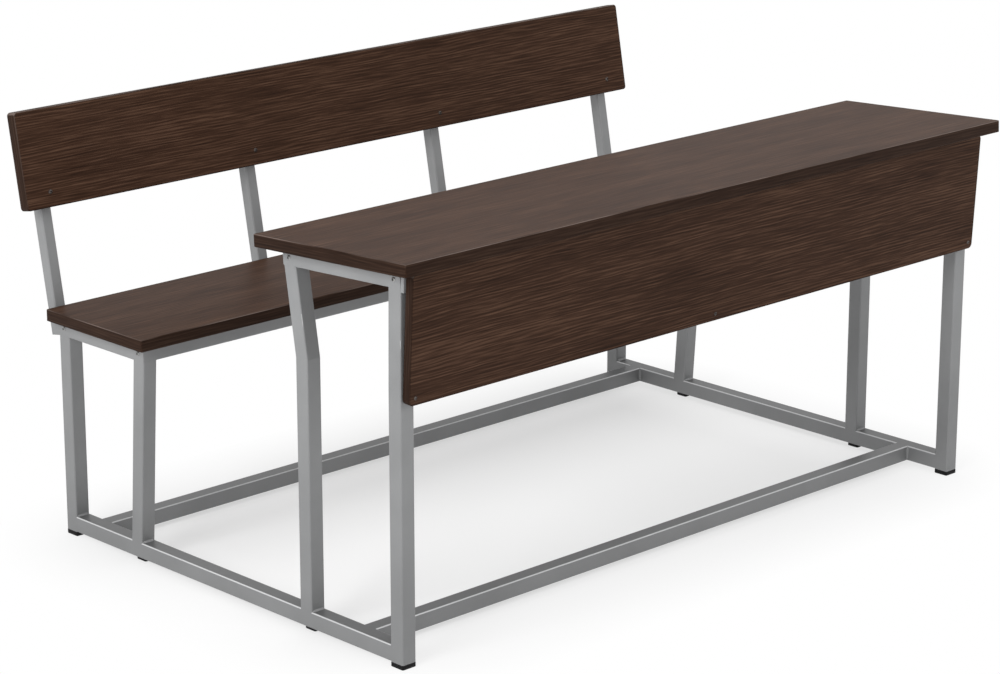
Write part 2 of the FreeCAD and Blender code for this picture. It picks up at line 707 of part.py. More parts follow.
def back_board_fasteners():
    """Bolt the back board to the posts, with a nut behind each post."""
    length = "back_thickness + post + nut_height + back_bolt_spare"
    bolts, nuts = [], []
    for name, share in zip(POST_NAMES, POST_SHARES):
        bolt = headed_pin(f"{name}_back_bolt", "bolt_head", "bolt_head_height", "bolt", length)
        depth, height = back_point("back_bolt_level", "-back_thickness")
        place(bolt, f"{share} * post_spacing", depth, height, "90 - back_lean")
        bolts.append(bolt)
        fastener = nut(f"{name}_back_nut")
        depth, height = back_point("back_bolt_level", "post")
        place(fastener, f"{share} * post_spacing", depth, height, "-90 - back_lean")
        nuts.append(fastener)
    group("back_board_bolts", bolts)
    group("back_board_nuts", nuts)


def panel_fasteners():
    """Screw the panel to the legs and the stay from the front, and to the panel bar from behind."""
    depth, height = panel_point("panel_screw_rise", "-panel_thickness")
    screws = []
    for number, across in enumerate(panel_screw_places()):
        length = "panel_thickness + panel_screw_reach"
        screw = headed_pin(f"panel_screw_{number}", "screw_head", "screw_head_height", "screw", length)
        place(screw, across, depth, height, "90 + panel_tilt")
        screws.append(screw)
    group("panel_screws", screws)
    depth, height = panel_point("panel_bar_middle", "panel_bar_thickness")
    screws = []
    for number, across in enumerate(panel_bar_screw_places()):
        length = "panel_bar_thickness + panel_bite"
        screw = headed_pin(f"panel_bar_screw_{number}", "screw_head", "screw_head_height", "screw", length)
        place(screw, across, depth, height, "-90 + panel_tilt")
        screws.append(screw)
    group("panel_bar_screws", screws)


def board_screws(label, rows, turn):
    """Screw a board down from below, through its two long rails."""
    screws = []
    for number, (depth, height) in enumerate(rows):
        for count, across in enumerate(board_screw_places()):
            name = f"{label}_{number}_{count}"
            screw = headed_pin(name, "screw_head", "screw_head_height", "screw", "tube + screw_bite")
            place(screw, across, depth, height, turn)
            screws.append(screw)
    group(label, screws)


def rail_fasteners(label, rows, turn):
    """Bolt two long rails to the side rails, with a threaded plug in each rail end."""
    bolts, plugs = [], []
    for side, sign in SIDES:
        for number, (depth, height) in enumerate(rows):
            name = f"{side}_{label}_rail_{number}"
            bolt = headed_pin(name + "_bolt", "bolt_head", "bolt_head_height", "bolt", "tube + rail_plug")
            place(bolt, f"{sign} * frame_length / 2", depth, height, f"{sign} * 90", Y_AXIS)
            bolts.append(bolt)
            plug = loose_body(name + "_plug")
            section = new_sketch(plug, name + "_plug_section", "YZ_Plane")
            draw_box(section, "plug_side", "plug_side")
            pad(plug, section, "rail_plug", symmetric=True)
            drill(plug, name + "_plug_thread", "YZ_Plane", [("0", "0")], "bolt")
            place(plug, f"{sign} * (inner_length - rail_plug) / 2", depth, height, turn)
            plugs.append(plug)
    group(f"{label}_rail_bolts", bolts)
    group(f"{label}_rail_plugs", plugs)


def end_plates(label, rows, turn):
    """Close both ends of the two side rails with plates set flush in their bores."""
    plates = []
    for side, sign in SIDES:
        for number, (depth, height) in enumerate(rows):
            name = f"{side}_{label}_plate_{number}"
            plate = loose_body(name)
            face = new_sketch(plate, name + "_face", "XZ_Plane")
            draw_box(face, "plug_side", "plug_side")
            pad(plate, face, "plate_thickness", symmetric=True)
            place(plate, f"{sign} * end_frame_middle", depth, height, turn)
            plates.append(plate)
    group(f"{label}_side_rail_plates", plates)


def post_caps():
    """Close the tops of the posts with caps that plug into their bores."""
    depth, height = back_point("post_length", "post / 2")
    caps = []
    for name, share in zip(POST_NAMES, POST_SHARES):
        cap = loose_body(f"{name}_post_cap")
        top = new_sketch(cap, f"{name}_cap_top", "XY_Plane")
        draw_rounded_box(top, "post", "post", "tube_corner")
        pad(cap, top, "cap_thickness")
        plug = new_sketch(cap, f"{name}_cap_plug", "XY_Plane")
        draw_box(plug, "post_bore - 2 * fit_gap", "post_bore - 2 * fit_gap")
        pad(cap, plug, "cap_plug", reverse=True)
        place(cap, f"{share} * post_spacing", depth, height, "-back_lean")
        caps.append(cap)
    group("back_post_caps", caps)


def build():
    """Make every piece in its place."""
    for side, sign in SIDES:
        across = f"{sign} * end_frame_middle"
        floor_rail(side, sign)
        rear_leg(side, sign)
        seat_leg(side, sign)
        desk_rear_leg(side, sign)
        desk_front_leg(side, sign)
        seat_side_rail(side, sign)
        desk_side_rail(side, sign)
        foot(f"{side}_front_foot", across, "tube / 2")
        foot(f"{side}_rear_foot", across, "rear_leg_middle")
        floor_pad(f"{side}_front_pad", across, "desk_rear_leg_place")
        floor_pad(f"{side}_rear_pad", across, "seat_leg_place")
    seat_rail("seat_front_rail", "seat_front_rail_middle")
    seat_rail("seat_rear_rail", "rear_leg_middle")
    desk_front_rail()
    desk_rail("desk_rear_rail", "desk_rear_rail_middle")
    stretcher("front_floor_stretcher", "front_stretcher_place")
    stretcher("rear_floor_stretcher", "rear_stretcher_place")
    panel_bar()
    panel_stay()
    for name, share in zip(POST_NAMES, POST_SHARES):
        back_post(name, share)
    desk_top()
    seat_board()
    modesty_panel()
    back_board()
    back_board_fasteners()
    panel_fasteners()
    desk_rows = [desk_point(along, "-tube") for along in DESK_RAIL_MIDDLES]
    board_screws("desk_top_screws", desk_rows, "180 - desk_slope")
    board_screws("seat_screws", [(depth, "seat_rail_low") for depth in SEAT_RAIL_MIDDLES], "180")
    rail_fasteners("desk", [desk_point(along, "-tube / 2") for along in DESK_RAIL_MIDDLES], "-desk_slope")
    rail_fasteners("seat", [(depth, "seat_rail_level") for depth in SEAT_RAIL_MIDDLES], "0")
    desk_ends = ("desk_rail_front + plate_thickness / 2", "desk_rail_rear - plate_thickness / 2")
    end_plates("desk", [desk_point(along, "-tube / 2") for along in desk_ends], "-desk_slope")
    seat_ends = ("seat_rail_front + plate_thickness / 2", "frame_depth - plate_thickness / 2")
    end_plates("seat", [(depth, "seat_rail_level") for depth in seat_ends], "0")
    post_caps()


def check():
    """Stop if any object failed or any piece has no sound shape."""
    for thing in doc.Objects:
        if "Invalid" in thing.State or "Error" in thing.State:
            raise RuntimeError(f"{thing.Label} failed: {thing.State}")
    for piece in nodes:
        if piece.Shape.isNull() or not piece.Shape.isValid():
            raise RuntimeError(f"{piece.Label} has no sound shape")


def write():
    """Write each piece to a file that carries its name."""
    os.makedirs("parts", exist_ok=True)
    for piece in nodes:
        piece.Shape.exportStep(f"parts/{piece.Label}.step")
        print(f"{piece.Label}: {len(piece.Shape.Solids)} solid(s), {piece.Shape.Volume:.0f} mm3")


build()
doc.recompute()
check()
write()
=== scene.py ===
"""Looks of a school desk with its bench: a painted tube frame, four laminated boards and their small parts.

Metres. X runs along the desk, Y from the front panel back to the bench, Z up, with the origin on the floor.
"""

import logging
import math
from collections.abc import Callable, Iterable, Sequence
from dataclasses import dataclass, field
from enum import Enum

import bmesh
import bpy
from mathutils import Matrix, Vector


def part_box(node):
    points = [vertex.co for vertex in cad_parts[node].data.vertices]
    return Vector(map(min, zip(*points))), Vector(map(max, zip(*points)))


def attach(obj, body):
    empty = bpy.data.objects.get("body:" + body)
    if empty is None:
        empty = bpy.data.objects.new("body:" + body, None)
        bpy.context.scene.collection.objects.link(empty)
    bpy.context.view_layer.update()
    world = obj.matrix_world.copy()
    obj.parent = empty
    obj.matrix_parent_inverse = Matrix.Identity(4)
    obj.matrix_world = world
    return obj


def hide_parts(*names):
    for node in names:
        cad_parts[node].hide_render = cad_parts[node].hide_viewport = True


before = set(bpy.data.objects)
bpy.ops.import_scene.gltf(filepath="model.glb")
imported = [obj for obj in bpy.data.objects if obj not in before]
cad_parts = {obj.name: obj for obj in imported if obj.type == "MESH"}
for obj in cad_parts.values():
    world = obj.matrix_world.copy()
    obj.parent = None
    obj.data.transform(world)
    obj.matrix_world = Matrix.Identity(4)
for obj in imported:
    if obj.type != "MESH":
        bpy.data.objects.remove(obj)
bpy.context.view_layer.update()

LOG = logging.getLogger("school_desk")
BODY = "root"
SIDES = {"left": -1.0, "right": 1.0}
POSTS = ("left_end", "left_inner", "right_inner", "right_end")
GRAIN_MAP = "Grain"
WAVE_SCALE = math.tau / 20
WHITE = (1.0, 1.0, 1.0, 1.0)
SAME_POINT = 1e-6
SORT_DIGITS = 4
# The largest part of a normal on a flat face, and on the middle of a round edge.
FLAT_FACE = 0.985
ROUND_EDGE = 0.90
X_AXIS = Vector((1.0, 0.0, 0.0))
Y_AXIS = Vector((0.0, 1.0, 0.0))
Z_AXIS = Vector((0.0, 0.0, 1.0))

Colour = tuple[float, float, float]
Ring = list[Vector]
Socket = bpy.types.NodeSocket
Reach = float | Callable[[float], float]


class Slot(Enum):
    """The record's material slots."""

    FRAME = "frame_paint"
    BOARD = "board_laminate"
    BAND = "edge_band"
    PLASTIC = "black_plastic"
    STEEL = "zinc_steel"
    DARK_STEEL = "dark_steel"


class Recess(Enum):
    """The driver recesses of screw and bolt heads."""

    CROSS = "cross"
    HEXAGON = "hexagon"


@dataclass(frozen=True)
class Leans:
    """How far the boards lean, with the tubes that carry them, in degrees.

    Attributes:
        desk: The fall of the desk top and its rails towards the bench.
        panel: The lean of the front panel.
        back: The lean of the back board and its posts.
    """

    desk: float = 3.0
    panel: float = 3.0
    back: float = 10.5


LEANS = Leans()


@dataclass(frozen=True)
class Grain:
    """A layer of noise whose patches are longer than wide.

    Attributes:
        length: How long a patch is, along the grain.
        width: How wide it is, across the grain.
        weight: The layer's weight where several are summed.
        detail: How many finer layers it has.
        rough: How strong the finer layers are.
    """

    length: float
    width: float
    weight: float = 1.0
    detail: float = 2.0
    rough: float = 0.5


@dataclass(frozen=True)
class Surface:
    """How a finish takes the light.

    Attributes:
        roughness: Its mean roughness.
        spread: How much the roughness varies.
        specular: The strength of its gloss.
        metallic: How much of it is metal.
        relief: The height of its bumps.
        bump: How much the bumps show.
    """

    roughness: float
    spread: float
    specular: float = 0.5
    metallic: float = 0.0
    relief: float = 0.0
    bump: float = 0.0


class Shading:
    """The node tree of one material."""

    def __init__(self, name: str) -> None:
        """Start a material with its shader and output.

        Args:
            name: The material's name.
        """
        self.material = bpy.data.materials.new(name)
        self.material.use_nodes = True
        self.tree = self.material.node_tree
        self.shader = self.tree.nodes["Principled BSDF"]

    def add(self, kind: str, values: dict[str, object] | None = None, **settings: object) -> bpy.types.Node:
        """Add a node.

        Args:
            kind: The node's type.
            values: Unlinked input values by socket name.
            settings: Properties of the node itself.

        Returns:
            The new node.
        """
        node = self.tree.nodes.new(kind)
        for key, setting in settings.items():
            setattr(node, key, setting)
        for key, value in (values or {}).items():
            node.inputs[key].default_value = value
        return node

    def wire(self, source: Socket, target: Socket) -> None:
        """Link one socket to another."""
        self.tree.links.new(source, target)

    def place(self) -> Socket:
        """Give the point on the object, in metres."""
        return self.add("ShaderNodeTexCoord").outputs["Object"]

    def facing(self) -> list[Socket]:
        """Give the X, Y and Z of the surface's normal."""
        return self.parts(self.add("ShaderNodeNewGeometry").outputs["Normal"])

    def parts(self, vector: Socket) -> list[Socket]:
        """Split a vector into its X, Y and Z.

        Args:
            vector: The vector to split.

        Returns:
            Its three parts.
        """
        node = self.add("ShaderNodeSeparateXYZ")
        self.wire(vector, node.inputs["Vector"])
        return list(node.outputs)

    def worked(self, operation: str, *values: Socket) -> Socket:
        """Work out a value from others.

        Args:
            operation: The math node's operation.
            values: What it works on.

        Returns:
            The value.
        """
        node = self.add("ShaderNodeMath", operation=operation)
        for value, socket in zip(values, node.inputs):
            self.wire(value, socket)
        return node.outputs[0]

    def ranged(self, value: Socket, start: float, end: float, low: float = 0.0, high: float = 1.0) -> Socket:
        """Map a value from one range to another, and keep it there.

        Args:
            value: The value to map.
            start: Where the first range starts.
            end: Where it ends.
            low: What its start turns into.
            high: What its end turns into.

        Returns:
            The mapped value.
        """
        values = {"From Min": start, "From Max": end, "To Min": low, "To Max": high}
        node = self.add("ShaderNodeMapRange", values)
        self.wire(value, node.inputs["Value"])
        return node.outputs["Result"]

    def sum(self, first: Socket, second: Socket | float, weight: float) -> Socket:
        """Add a weighted value to another.

        Args:
            first: The value that is weighted.
            second: What is added to it.
            weight: The first value's weight.

        Returns:
            first times weight plus second.
        """
        node = self.add("ShaderNodeMath", operation="MULTIPLY_ADD")
        self.wire(first, node.inputs[0])
        node.inputs[1].default_value = weight
        if isinstance(second, float):
            node.inputs[2].default_value = second
        else:
            self.wire(second, node.inputs[2])
        return node.outputs[0]

    def noise(self, vector: Socket, size: float = 1.0, detail: float = 2.0, rough: float = 0.5) -> Socket:
        """Give smooth noise between 0 and 1.

        Args:
            vector: Where the noise is read.
            size: The size of its patches.
            detail: How many finer layers it has.
            rough: How strong the finer layers are.

        Returns:
            The noise value.
        """
        node = self.add("ShaderNodeTexNoise", {"Scale": 1 / size, "Detail": detail, "Roughness": rough})
        self.wire(vector, node.inputs["Vector"])
        return node.outputs["Fac"]

    def squeezed(self, vector: Socket, grain: Grain) -> Socket:
        """Squeeze a vector, so that patches of unit size get a grain's size.

        Args:
            vector: The vector, with the grain along its first axis.
            grain: The size of the patches.

        Returns:
            The squeezed vector.
        """
        node = self.add("ShaderNodeMapping", {"Scale": (1 / grain.length, 1 / grain.width, 1 / grain.width)})
        self.wire(vector, node.inputs["Vector"])
        return node.outputs["Vector"]

    def streaks(self, vector: Socket, grain: Grain) -> Socket:
        """Give noise with long patches, between 0 and 1."""
        return self.noise(self.squeezed(vector, grain), detail=grain.detail, rough=grain.rough)

    def rows(self, vector: Socket, grain: Grain, wander: float) -> Socket:
        """Give evenly spaced lines along the grain, between 0 and 1.

        Args:
            vector: The vector, with the grain along its first axis.
            grain: The lines' spacing as its width, and how long they run straight.
            wander: How far the lines wander, as an angle of their wave.

        Returns:
            The value.
        """
        values = {"Scale": WAVE_SCALE, "Distortion": wander, "Detail": grain.detail}
        node = self.add("ShaderNodeTexWave", values, bands_direction="Y")
        self.wire(self.squeezed(vector, grain), node.inputs["Vector"])
        return node.outputs["Fac"]

    def ramp(self, value: Socket, tones: Sequence[float], colours: Sequence[Colour]) -> Socket:
        """Turn a value into a colour.

        Args:
            value: The value that picks the colour.
            tones: The values of the colours, between 0 and 1, in order.
            colours: The colours.

        Returns:
            The colour.
        """
        node = self.add("ShaderNodeValToRGB")
        elements = node.color_ramp.elements
        while len(elements) < len(tones):
            elements.new(1.0)
        for element, tone, colour in zip(elements, tones, colours):
            element.position = tone
            element.color = (*colour, 1.0)
        self.wire(value, node.inputs["Fac"])
        return node.outputs["Color"]

    def edges(self, start: float, end: float) -> Socket:
        """Find the round edges between flat faces.

        Args:
            start: The upward part of the normal from which on an edge counts.
            end: The upward part from which on it counts in full.

        Returns:
            1 on the middle of those edges, and 0 on the flat faces.
        """
        facing = self.facing()
        flat = self.worked("ABSOLUTE", facing[0])
        for part in facing[1:]:
            flat = self.worked("MAXIMUM", flat, self.worked("ABSOLUTE", part))
        between = self.ranged(flat, FLAT_FACE, ROUND_EDGE)
        return self.worked("MULTIPLY", between, self.ranged(facing[2], start, end))

    def wear_and_highlight(self, colour: Socket, pale: Colour, share: Socket) -> Socket:
        """Mix in a paler colour, as a painted highlight.

        Args:
            colour: The colour elsewhere.
            pale: The colour of the painted highlight.
            share: How much of it shows.

        Returns:
            The mixed colour.
        """
        node = self.add("ShaderNodeMixRGB", {"Color2": (*pale, 1.0)})
        self.wire(share, node.inputs["Fac"])
        self.wire(colour, node.inputs["Color1"])
        return node.outputs["Color"]

    def dress(self, surface: Surface, colour: Socket, uneven: Socket, height: Socket | None = None) -> None:
        """Give the shader its colour, its gloss and its bumps.

        Args:
            surface: How the finish takes the light.
            colour: The colour.
            uneven: A value between 0 and 1 that varies the roughness.
            height: The height of the bumps, between 0 and 1, where there are any.
        """
        inputs = self.shader.inputs
        inputs["Metallic"].default_value = surface.metallic
        inputs["Specular IOR Level"].default_value = surface.specular
        smoothest = surface.roughness - surface.spread / 2
        self.wire(colour, inputs["Base Color"])
        self.wire(self.sum(uneven, smoothest, surface.spread), inputs["Roughness"])
        if height is not None:
            node = self.add("ShaderNodeBump", {"Strength": surface.bump, "Distance": surface.relief})
            self.wire(height, node.inputs["Height"])
            self.wire(node.outputs["Normal"], inputs["Normal"])


@dataclass(frozen=True)
class LaminateFinish:
    """Dark wood-look laminate with fine lines along the grain.

    Attributes:
        name: The material's name.
        dark: The darkest lines.
        middle: The ground colour.
        pale: The palest lines.
        tones: Where on the summed grain these three colours lie.
        bends: How the whole grain bends, with how far as its weight.
        rows: Its even lines.
        wander: How far the even lines wander, as an angle of their wave.
        streaks: Its uneven lines.
        threads: Its finest lines, which are also its pores.
        patches: Its broad patches.
        wear_and_highlight: Its painted highlight on the round edges that look up.
        highlight_patch: The size of the patches in which the painted highlight shows.
        painted_light: The values of those patches where the painted highlight starts, and where it is full.
        edge: The upward parts of the normal where the painted highlight on an edge starts, and where it is
            full.
        surface: How it takes the light.
    """

    name: str = "wood_laminate"
    dark: Colour = (0.0155, 0.0072, 0.0042)
    middle: Colour = (0.0395, 0.0190, 0.0112)
    pale: Colour = (0.1000, 0.0540, 0.0340)
    tones: tuple[float, ...] = (0.34, 0.49, 0.66)
    bends: Grain = Grain(length=0.45, width=0.07, weight=0.014)
    rows: Grain = Grain(length=0.05, width=0.0060, weight=0.08, detail=3.0)
    wander: float = 7.0
    streaks: Grain = Grain(length=0.15, width=0.0038, weight=0.44, detail=3.0, rough=0.6)
    threads: Grain = Grain(length=0.06, width=0.0018, weight=0.28)
    patches: Grain = Grain(length=0.5, width=0.06, weight=0.20)
    wear_and_highlight: Colour = (0.15, 0.115, 0.10)
    highlight_patch: float = 0.25
    painted_light: tuple[float, float] = (0.35, 0.60)
    edge: tuple[float, float] = (0.05, 0.40)
    surface: Surface = Surface(roughness=0.50, spread=0.12, specular=0.05, relief=0.0003, bump=0.10)

    def bent(self, shading: Shading) -> Socket:
        """Bend the grain map.

        Args:
            shading: The material's nodes.

        Returns:
            The bent map.
        """
        grain = shading.add("ShaderNodeUVMap", uv_map=GRAIN_MAP).outputs["UV"]
        reach = self.bends.weight
        shift = shading.add("ShaderNodeCombineXYZ")
        shading.wire(shading.sum(shading.streaks(grain, self.bends), -reach / 2, reach), shift.inputs["Y"])
        bent = shading.add("ShaderNodeVectorMath", operation="ADD")
        shading.wire(grain, bent.inputs[0])
        shading.wire(shift.outputs["Vector"], bent.inputs[1])
        return bent.outputs["Vector"]

    def material(self) -> bpy.types.Material:
        """Build the material."""
        shading = Shading(self.name)
        grain = self.bent(shading)
        threads = shading.streaks(grain, self.threads)
        blend = shading.sum(threads, 0.0, self.threads.weight)
        for layer in (self.streaks, self.patches):
            blend = shading.sum(shading.streaks(grain, layer), blend, layer.weight)
        blend = shading.sum(shading.rows(grain, self.rows, self.wander), blend, self.rows.weight)
        lines = shading.ramp(blend, self.tones, (self.dark, self.middle, self.pale))
        # Painted highlight on the round edges that look up, in patches.
        highlight_patch = shading.ranged(shading.noise(shading.place(), self.highlight_patch), *self.painted_light)
        share = shading.worked("MULTIPLY", highlight_patch, shading.edges(*self.edge))
        shading.dress(self.surface, shading.wear_and_highlight(lines, self.wear_and_highlight, share), threads, threads)
        return shading.material


@dataclass(frozen=True)
class PaintFinish:
    """Silver-grey powder coat with a fine metallic grain.

    Attributes:
        name: The material's name.
        colour: The coat's mean colour.
        shades: How much darker or lighter than the mean its three shades are.
        tones: Where on the summed noise the shades lie.
        cloud: The size of its darker and lighter patches.
        flake: The size of a metal flake.
        flake_share: How much of the summed noise the flakes make.
        shade_at_floor: How much of the colour is left at the floor, where shade is painted in.
        unshaded_height: From which height on no shade is painted in.
        top_shade: How much of the colour is left on the faces that look up, as painted shade.
        upper: The upward parts of the normal where that painted shade starts, and where it is full.
        wear_and_highlight: Its painted highlight, on the round edges that look up.
        edge: The upward parts of the normal where the painted highlight on an edge starts, and where it is
            full.
        peel: The size of the waves in the coat.
        surface: How it takes the light.
    """

    name: str = "frame_paint"
    colour: Colour = (0.256, 0.259, 0.262)
    shades: tuple[float, ...] = (0.88, 1.0, 1.12)
    tones: tuple[float, ...] = (0.3, 0.5, 0.7)
    cloud: float = 0.14
    flake: float = 0.0004
    flake_share: float = 0.4
    shade_at_floor: float = 0.80
    unshaded_height: float = 0.45
    top_shade: float = 0.66
    upper: tuple[float, float] = (0.8, 0.95)
    wear_and_highlight: Colour = (0.56, 0.565, 0.57)
    edge: tuple[float, float] = (0.15, 0.30)
    peel: float = 0.0024
    surface: Surface = Surface(roughness=0.42, spread=0.10, specular=0.30, metallic=0.20, relief=0.0002,
                               bump=0.05)

    def coat(self, shading: Shading, clouds: Socket) -> Socket:
        """Mix the coat's colour, before any painted shade.

        Args:
            shading: The material's nodes.
            clouds: The patches in the coat.

        Returns:
            The colour.
        """
        flakes = shading.noise(shading.place(), self.flake, detail=1.0)
        flakes = shading.sum(flakes, 0.0, self.flake_share)
        colours = [tuple(part * shade for part in self.colour) for shade in self.shades]
        return shading.ramp(shading.sum(clouds, flakes, 1 - self.flake_share), self.tones, colours)

    def painted_light(self, shading: Shading, coat: Socket) -> Socket:
        """Paint shade onto the coat: darker towards the floor and on the faces that look up.

        Args:
            shading: The material's nodes.
            coat: The coat's colour without painted shade.

        Returns:
            The coat's colour with the painted shade.
        """
        height = shading.parts(shading.place())[2]
        # Painted shade: darker towards the floor, and on the faces that look up.
        floor_shade = shading.ranged(height, 0.0, self.unshaded_height, self.shade_at_floor, 1.0)
        scuff_and_top_shade = shading.ranged(shading.facing()[2], *self.upper, 1.0, self.top_shade)
        dark = shading.add("ShaderNodeVectorMath", operation="SCALE")
        shading.wire(coat, dark.inputs[0])
        shading.wire(shading.worked("MULTIPLY", floor_shade, scuff_and_top_shade), dark.inputs["Scale"])
        return dark.outputs["Vector"]

    def material(self) -> bpy.types.Material:
        """Build the material."""
        shading = Shading(self.name)
        clouds = shading.noise(shading.place(), self.cloud, detail=3.0)
        # The coat with painted shade towards the floor and on the faces that look up.
        painted_light = self.painted_light(shading, self.coat(shading, clouds))
        # Painted highlight on the round edges that look up.
        colour = shading.wear_and_highlight(painted_light, self.wear_and_highlight, shading.edges(*self.edge))
        shading.dress(self.surface, colour, clouds, shading.noise(shading.place(), self.peel))
        return shading.material


@dataclass(frozen=True)
class PlasticFinish:
    """Moulded black plastic with a fine eroded texture.

    Attributes:
        name: The material's name.
        colour: The plastic's colour.
        wear_and_highlight: Its colour in the abraded patches; here it is wear only, with no highlight.
        tones: Where on the noise the two colours lie.
        scuff_and_top_shade: The size of the abraded patches.
        texture: The size of the eroded dimples.
        surface: How it takes the light.
    """

    name: str = "moulded_plastic"
    colour: Colour = (0.0025, 0.0025, 0.0027)
    wear_and_highlight: Colour = (0.0080, 0.0080, 0.0084)
    tones: tuple[float, ...] = (0.45, 0.75)
    scuff_and_top_shade: float = 0.006
    texture: float = 0.0007
    surface: Surface = Surface(roughness=0.60, spread=0.20, specular=0.20, relief=0.0002, bump=0.25)

    def material(self) -> bpy.types.Material:
        """Build the material."""
        shading = Shading(self.name)
        scuffs = shading.noise(shading.place(), self.scuff_and_top_shade, detail=4.0, rough=0.6)
        colour = shading.ramp(scuffs, self.tones, (self.colour, self.wear_and_highlight))
        shading.dress(self.surface, colour, scuffs, shading.noise(shading.place(), self.texture))
        return shading.material


@dataclass(frozen=True)
class SteelFinish:
    """Plated screws and bolts.

    Attributes:
        name: The material's name.
        colour: The plating's colour.
        tarnish: Its colour in the duller patches.
        tones: Where on the noise the two colours lie, the duller one first.
        patch: The size of the patches.
        brush: The marks of the tool that formed it.
        surface: How it takes the light.
    """

    name: str = "plated_steel"
    colour: Colour = (0.46, 0.46, 0.45)
    tarnish: Colour = (0.26, 0.26, 0.255)
    tones: tuple[float, ...] = (0.35, 0.65)
    patch: float = 0.004
    brush: Grain = Grain(length=0.0033, width=0.00055)
    surface: Surface = Surface(roughness=0.38, spread=0.16, metallic=1.0, relief=0.0001, bump=0.12)

    def material(self) -> bpy.types.Material:
        """Build the material."""
        shading = Shading(self.name)
        patches = shading.noise(shading.place(), self.patch, detail=3.0)
        colour = shading.ramp(patches, self.tones, (self.tarnish, self.colour))
        shading.dress(self.surface, colour, patches, shading.streaks(shading.place(), self.brush))
        return shading.material


EDGE_BAND = LaminateFinish(
    name="wood_edge_band",
    dark=(0.0120, 0.0058, 0.0036),
    middle=(0.0240, 0.0122, 0.0078),
    pale=(0.0460, 0.0262, 0.0176),
)
LACQUER = SteelFinish(
    name="lacquered_steel",
    colour=(0.110, 0.094, 0.086),
    tarnish=(0.050, 0.041, 0.036),
    surface=Surface(roughness=0.26, spread=0.16, metallic=0.8, relief=0.0001, bump=0.12),
)


@dataclass(frozen=True)
class FloorFinish:
    """Pale studio floor that the camera sees as nearly white, with the object's shadow on it.

    Attributes:
        name: The material's name.
        pale: The floor's colour.
        dull: Its colour in the duller patches.
        tones: Where on the noise the two colours lie, the duller one first.
        patch: The size of the patches.
        near_share: How much of the floor under the object is seen as plain white.
        half: Half the length and depth of that floor.
        fade: How far outside it the floor is all white.
        surface: How it takes the light.
    """

    name: str = "studio_floor"
    pale: Colour = (0.86, 0.86, 0.86)
    dull: Colour = (0.83, 0.83, 0.83)
    tones: tuple[float, ...] = (0.3, 0.7)
    patch: float = 0.7
    near_share: float = 0.40
    half: tuple[float, float, float] = (0.60, 0.28, 0.0)
    fade: float = 0.40
    surface: Surface = Surface(roughness=0.9, spread=0.1, specular=0.1)

    def outside(self, shading: Shading) -> Socket:
        """Measure how far outside the object's floor a point lies.

        Args:
            shading: The material's nodes.

        Returns:
            The distance, which is 0 under the object.
        """
        place = shading.place()
        for operation, other in (("ABSOLUTE", None), ("SUBTRACT", self.half), ("MAXIMUM", (0.0, 0.0, 0.0))):
            step = shading.add("ShaderNodeVectorMath", operation=operation)
            shading.wire(place, step.inputs[0])
            if other:
                step.inputs[1].default_value = other
            place = step.outputs["Vector"]
        reach = shading.add("ShaderNodeVectorMath", operation="LENGTH")
        shading.wire(place, reach.inputs[0])
        return reach.outputs["Value"]

    def material(self) -> bpy.types.Material:
        """Build the material."""
        shading = Shading(self.name)
        patches = shading.noise(shading.place(), self.patch)
        shading.dress(self.surface, shading.ramp(patches, self.tones, (self.dull, self.pale)), patches)
        glow = shading.add("ShaderNodeEmission", {"Color": WHITE, "Strength": 1.0})
        white = shading.ranged(self.outside(shading), 0.0, self.fade, self.near_share, 1.0)
        mixed = shading.add("ShaderNodeMixShader")
        shading.wire(shading.worked("MULTIPLY", seen_ray(shading.tree), white), mixed.inputs["Fac"])
        shading.wire(shading.shader.outputs["BSDF"], mixed.inputs[1])
        shading.wire(glow.outputs["Emission"], mixed.inputs[2])
        shading.wire(mixed.outputs["Shader"], shading.tree.nodes["Material Output"].inputs["Surface"])
        return shading.material


def seen_ray(tree: bpy.types.NodeTree) -> Socket:
    """Tell the rays that show the background from those that only light the object.

    Args:
        tree: The node tree that the nodes go into.

    Returns:
        1 for camera, glossy and transmission rays, and 0 for all others.
    """
    path = tree.nodes.new("ShaderNodeLightPath")
    total = path.outputs["Is Camera Ray"]
    for name in ("Is Glossy Ray", "Is Transmission Ray"):
        either = tree.nodes.new("ShaderNodeMath")
        either.operation = "MAXIMUM"
        tree.links.new(total, either.inputs[0])
        tree.links.new(path.outputs[name], either.inputs[1])
        total = either.outputs[0]
    return total


class Ends(Enum):
    """How a loft ends: with a face on each end, or with its last ring joined to its first."""

    FACES = "faces"
    JOINED = "joined"


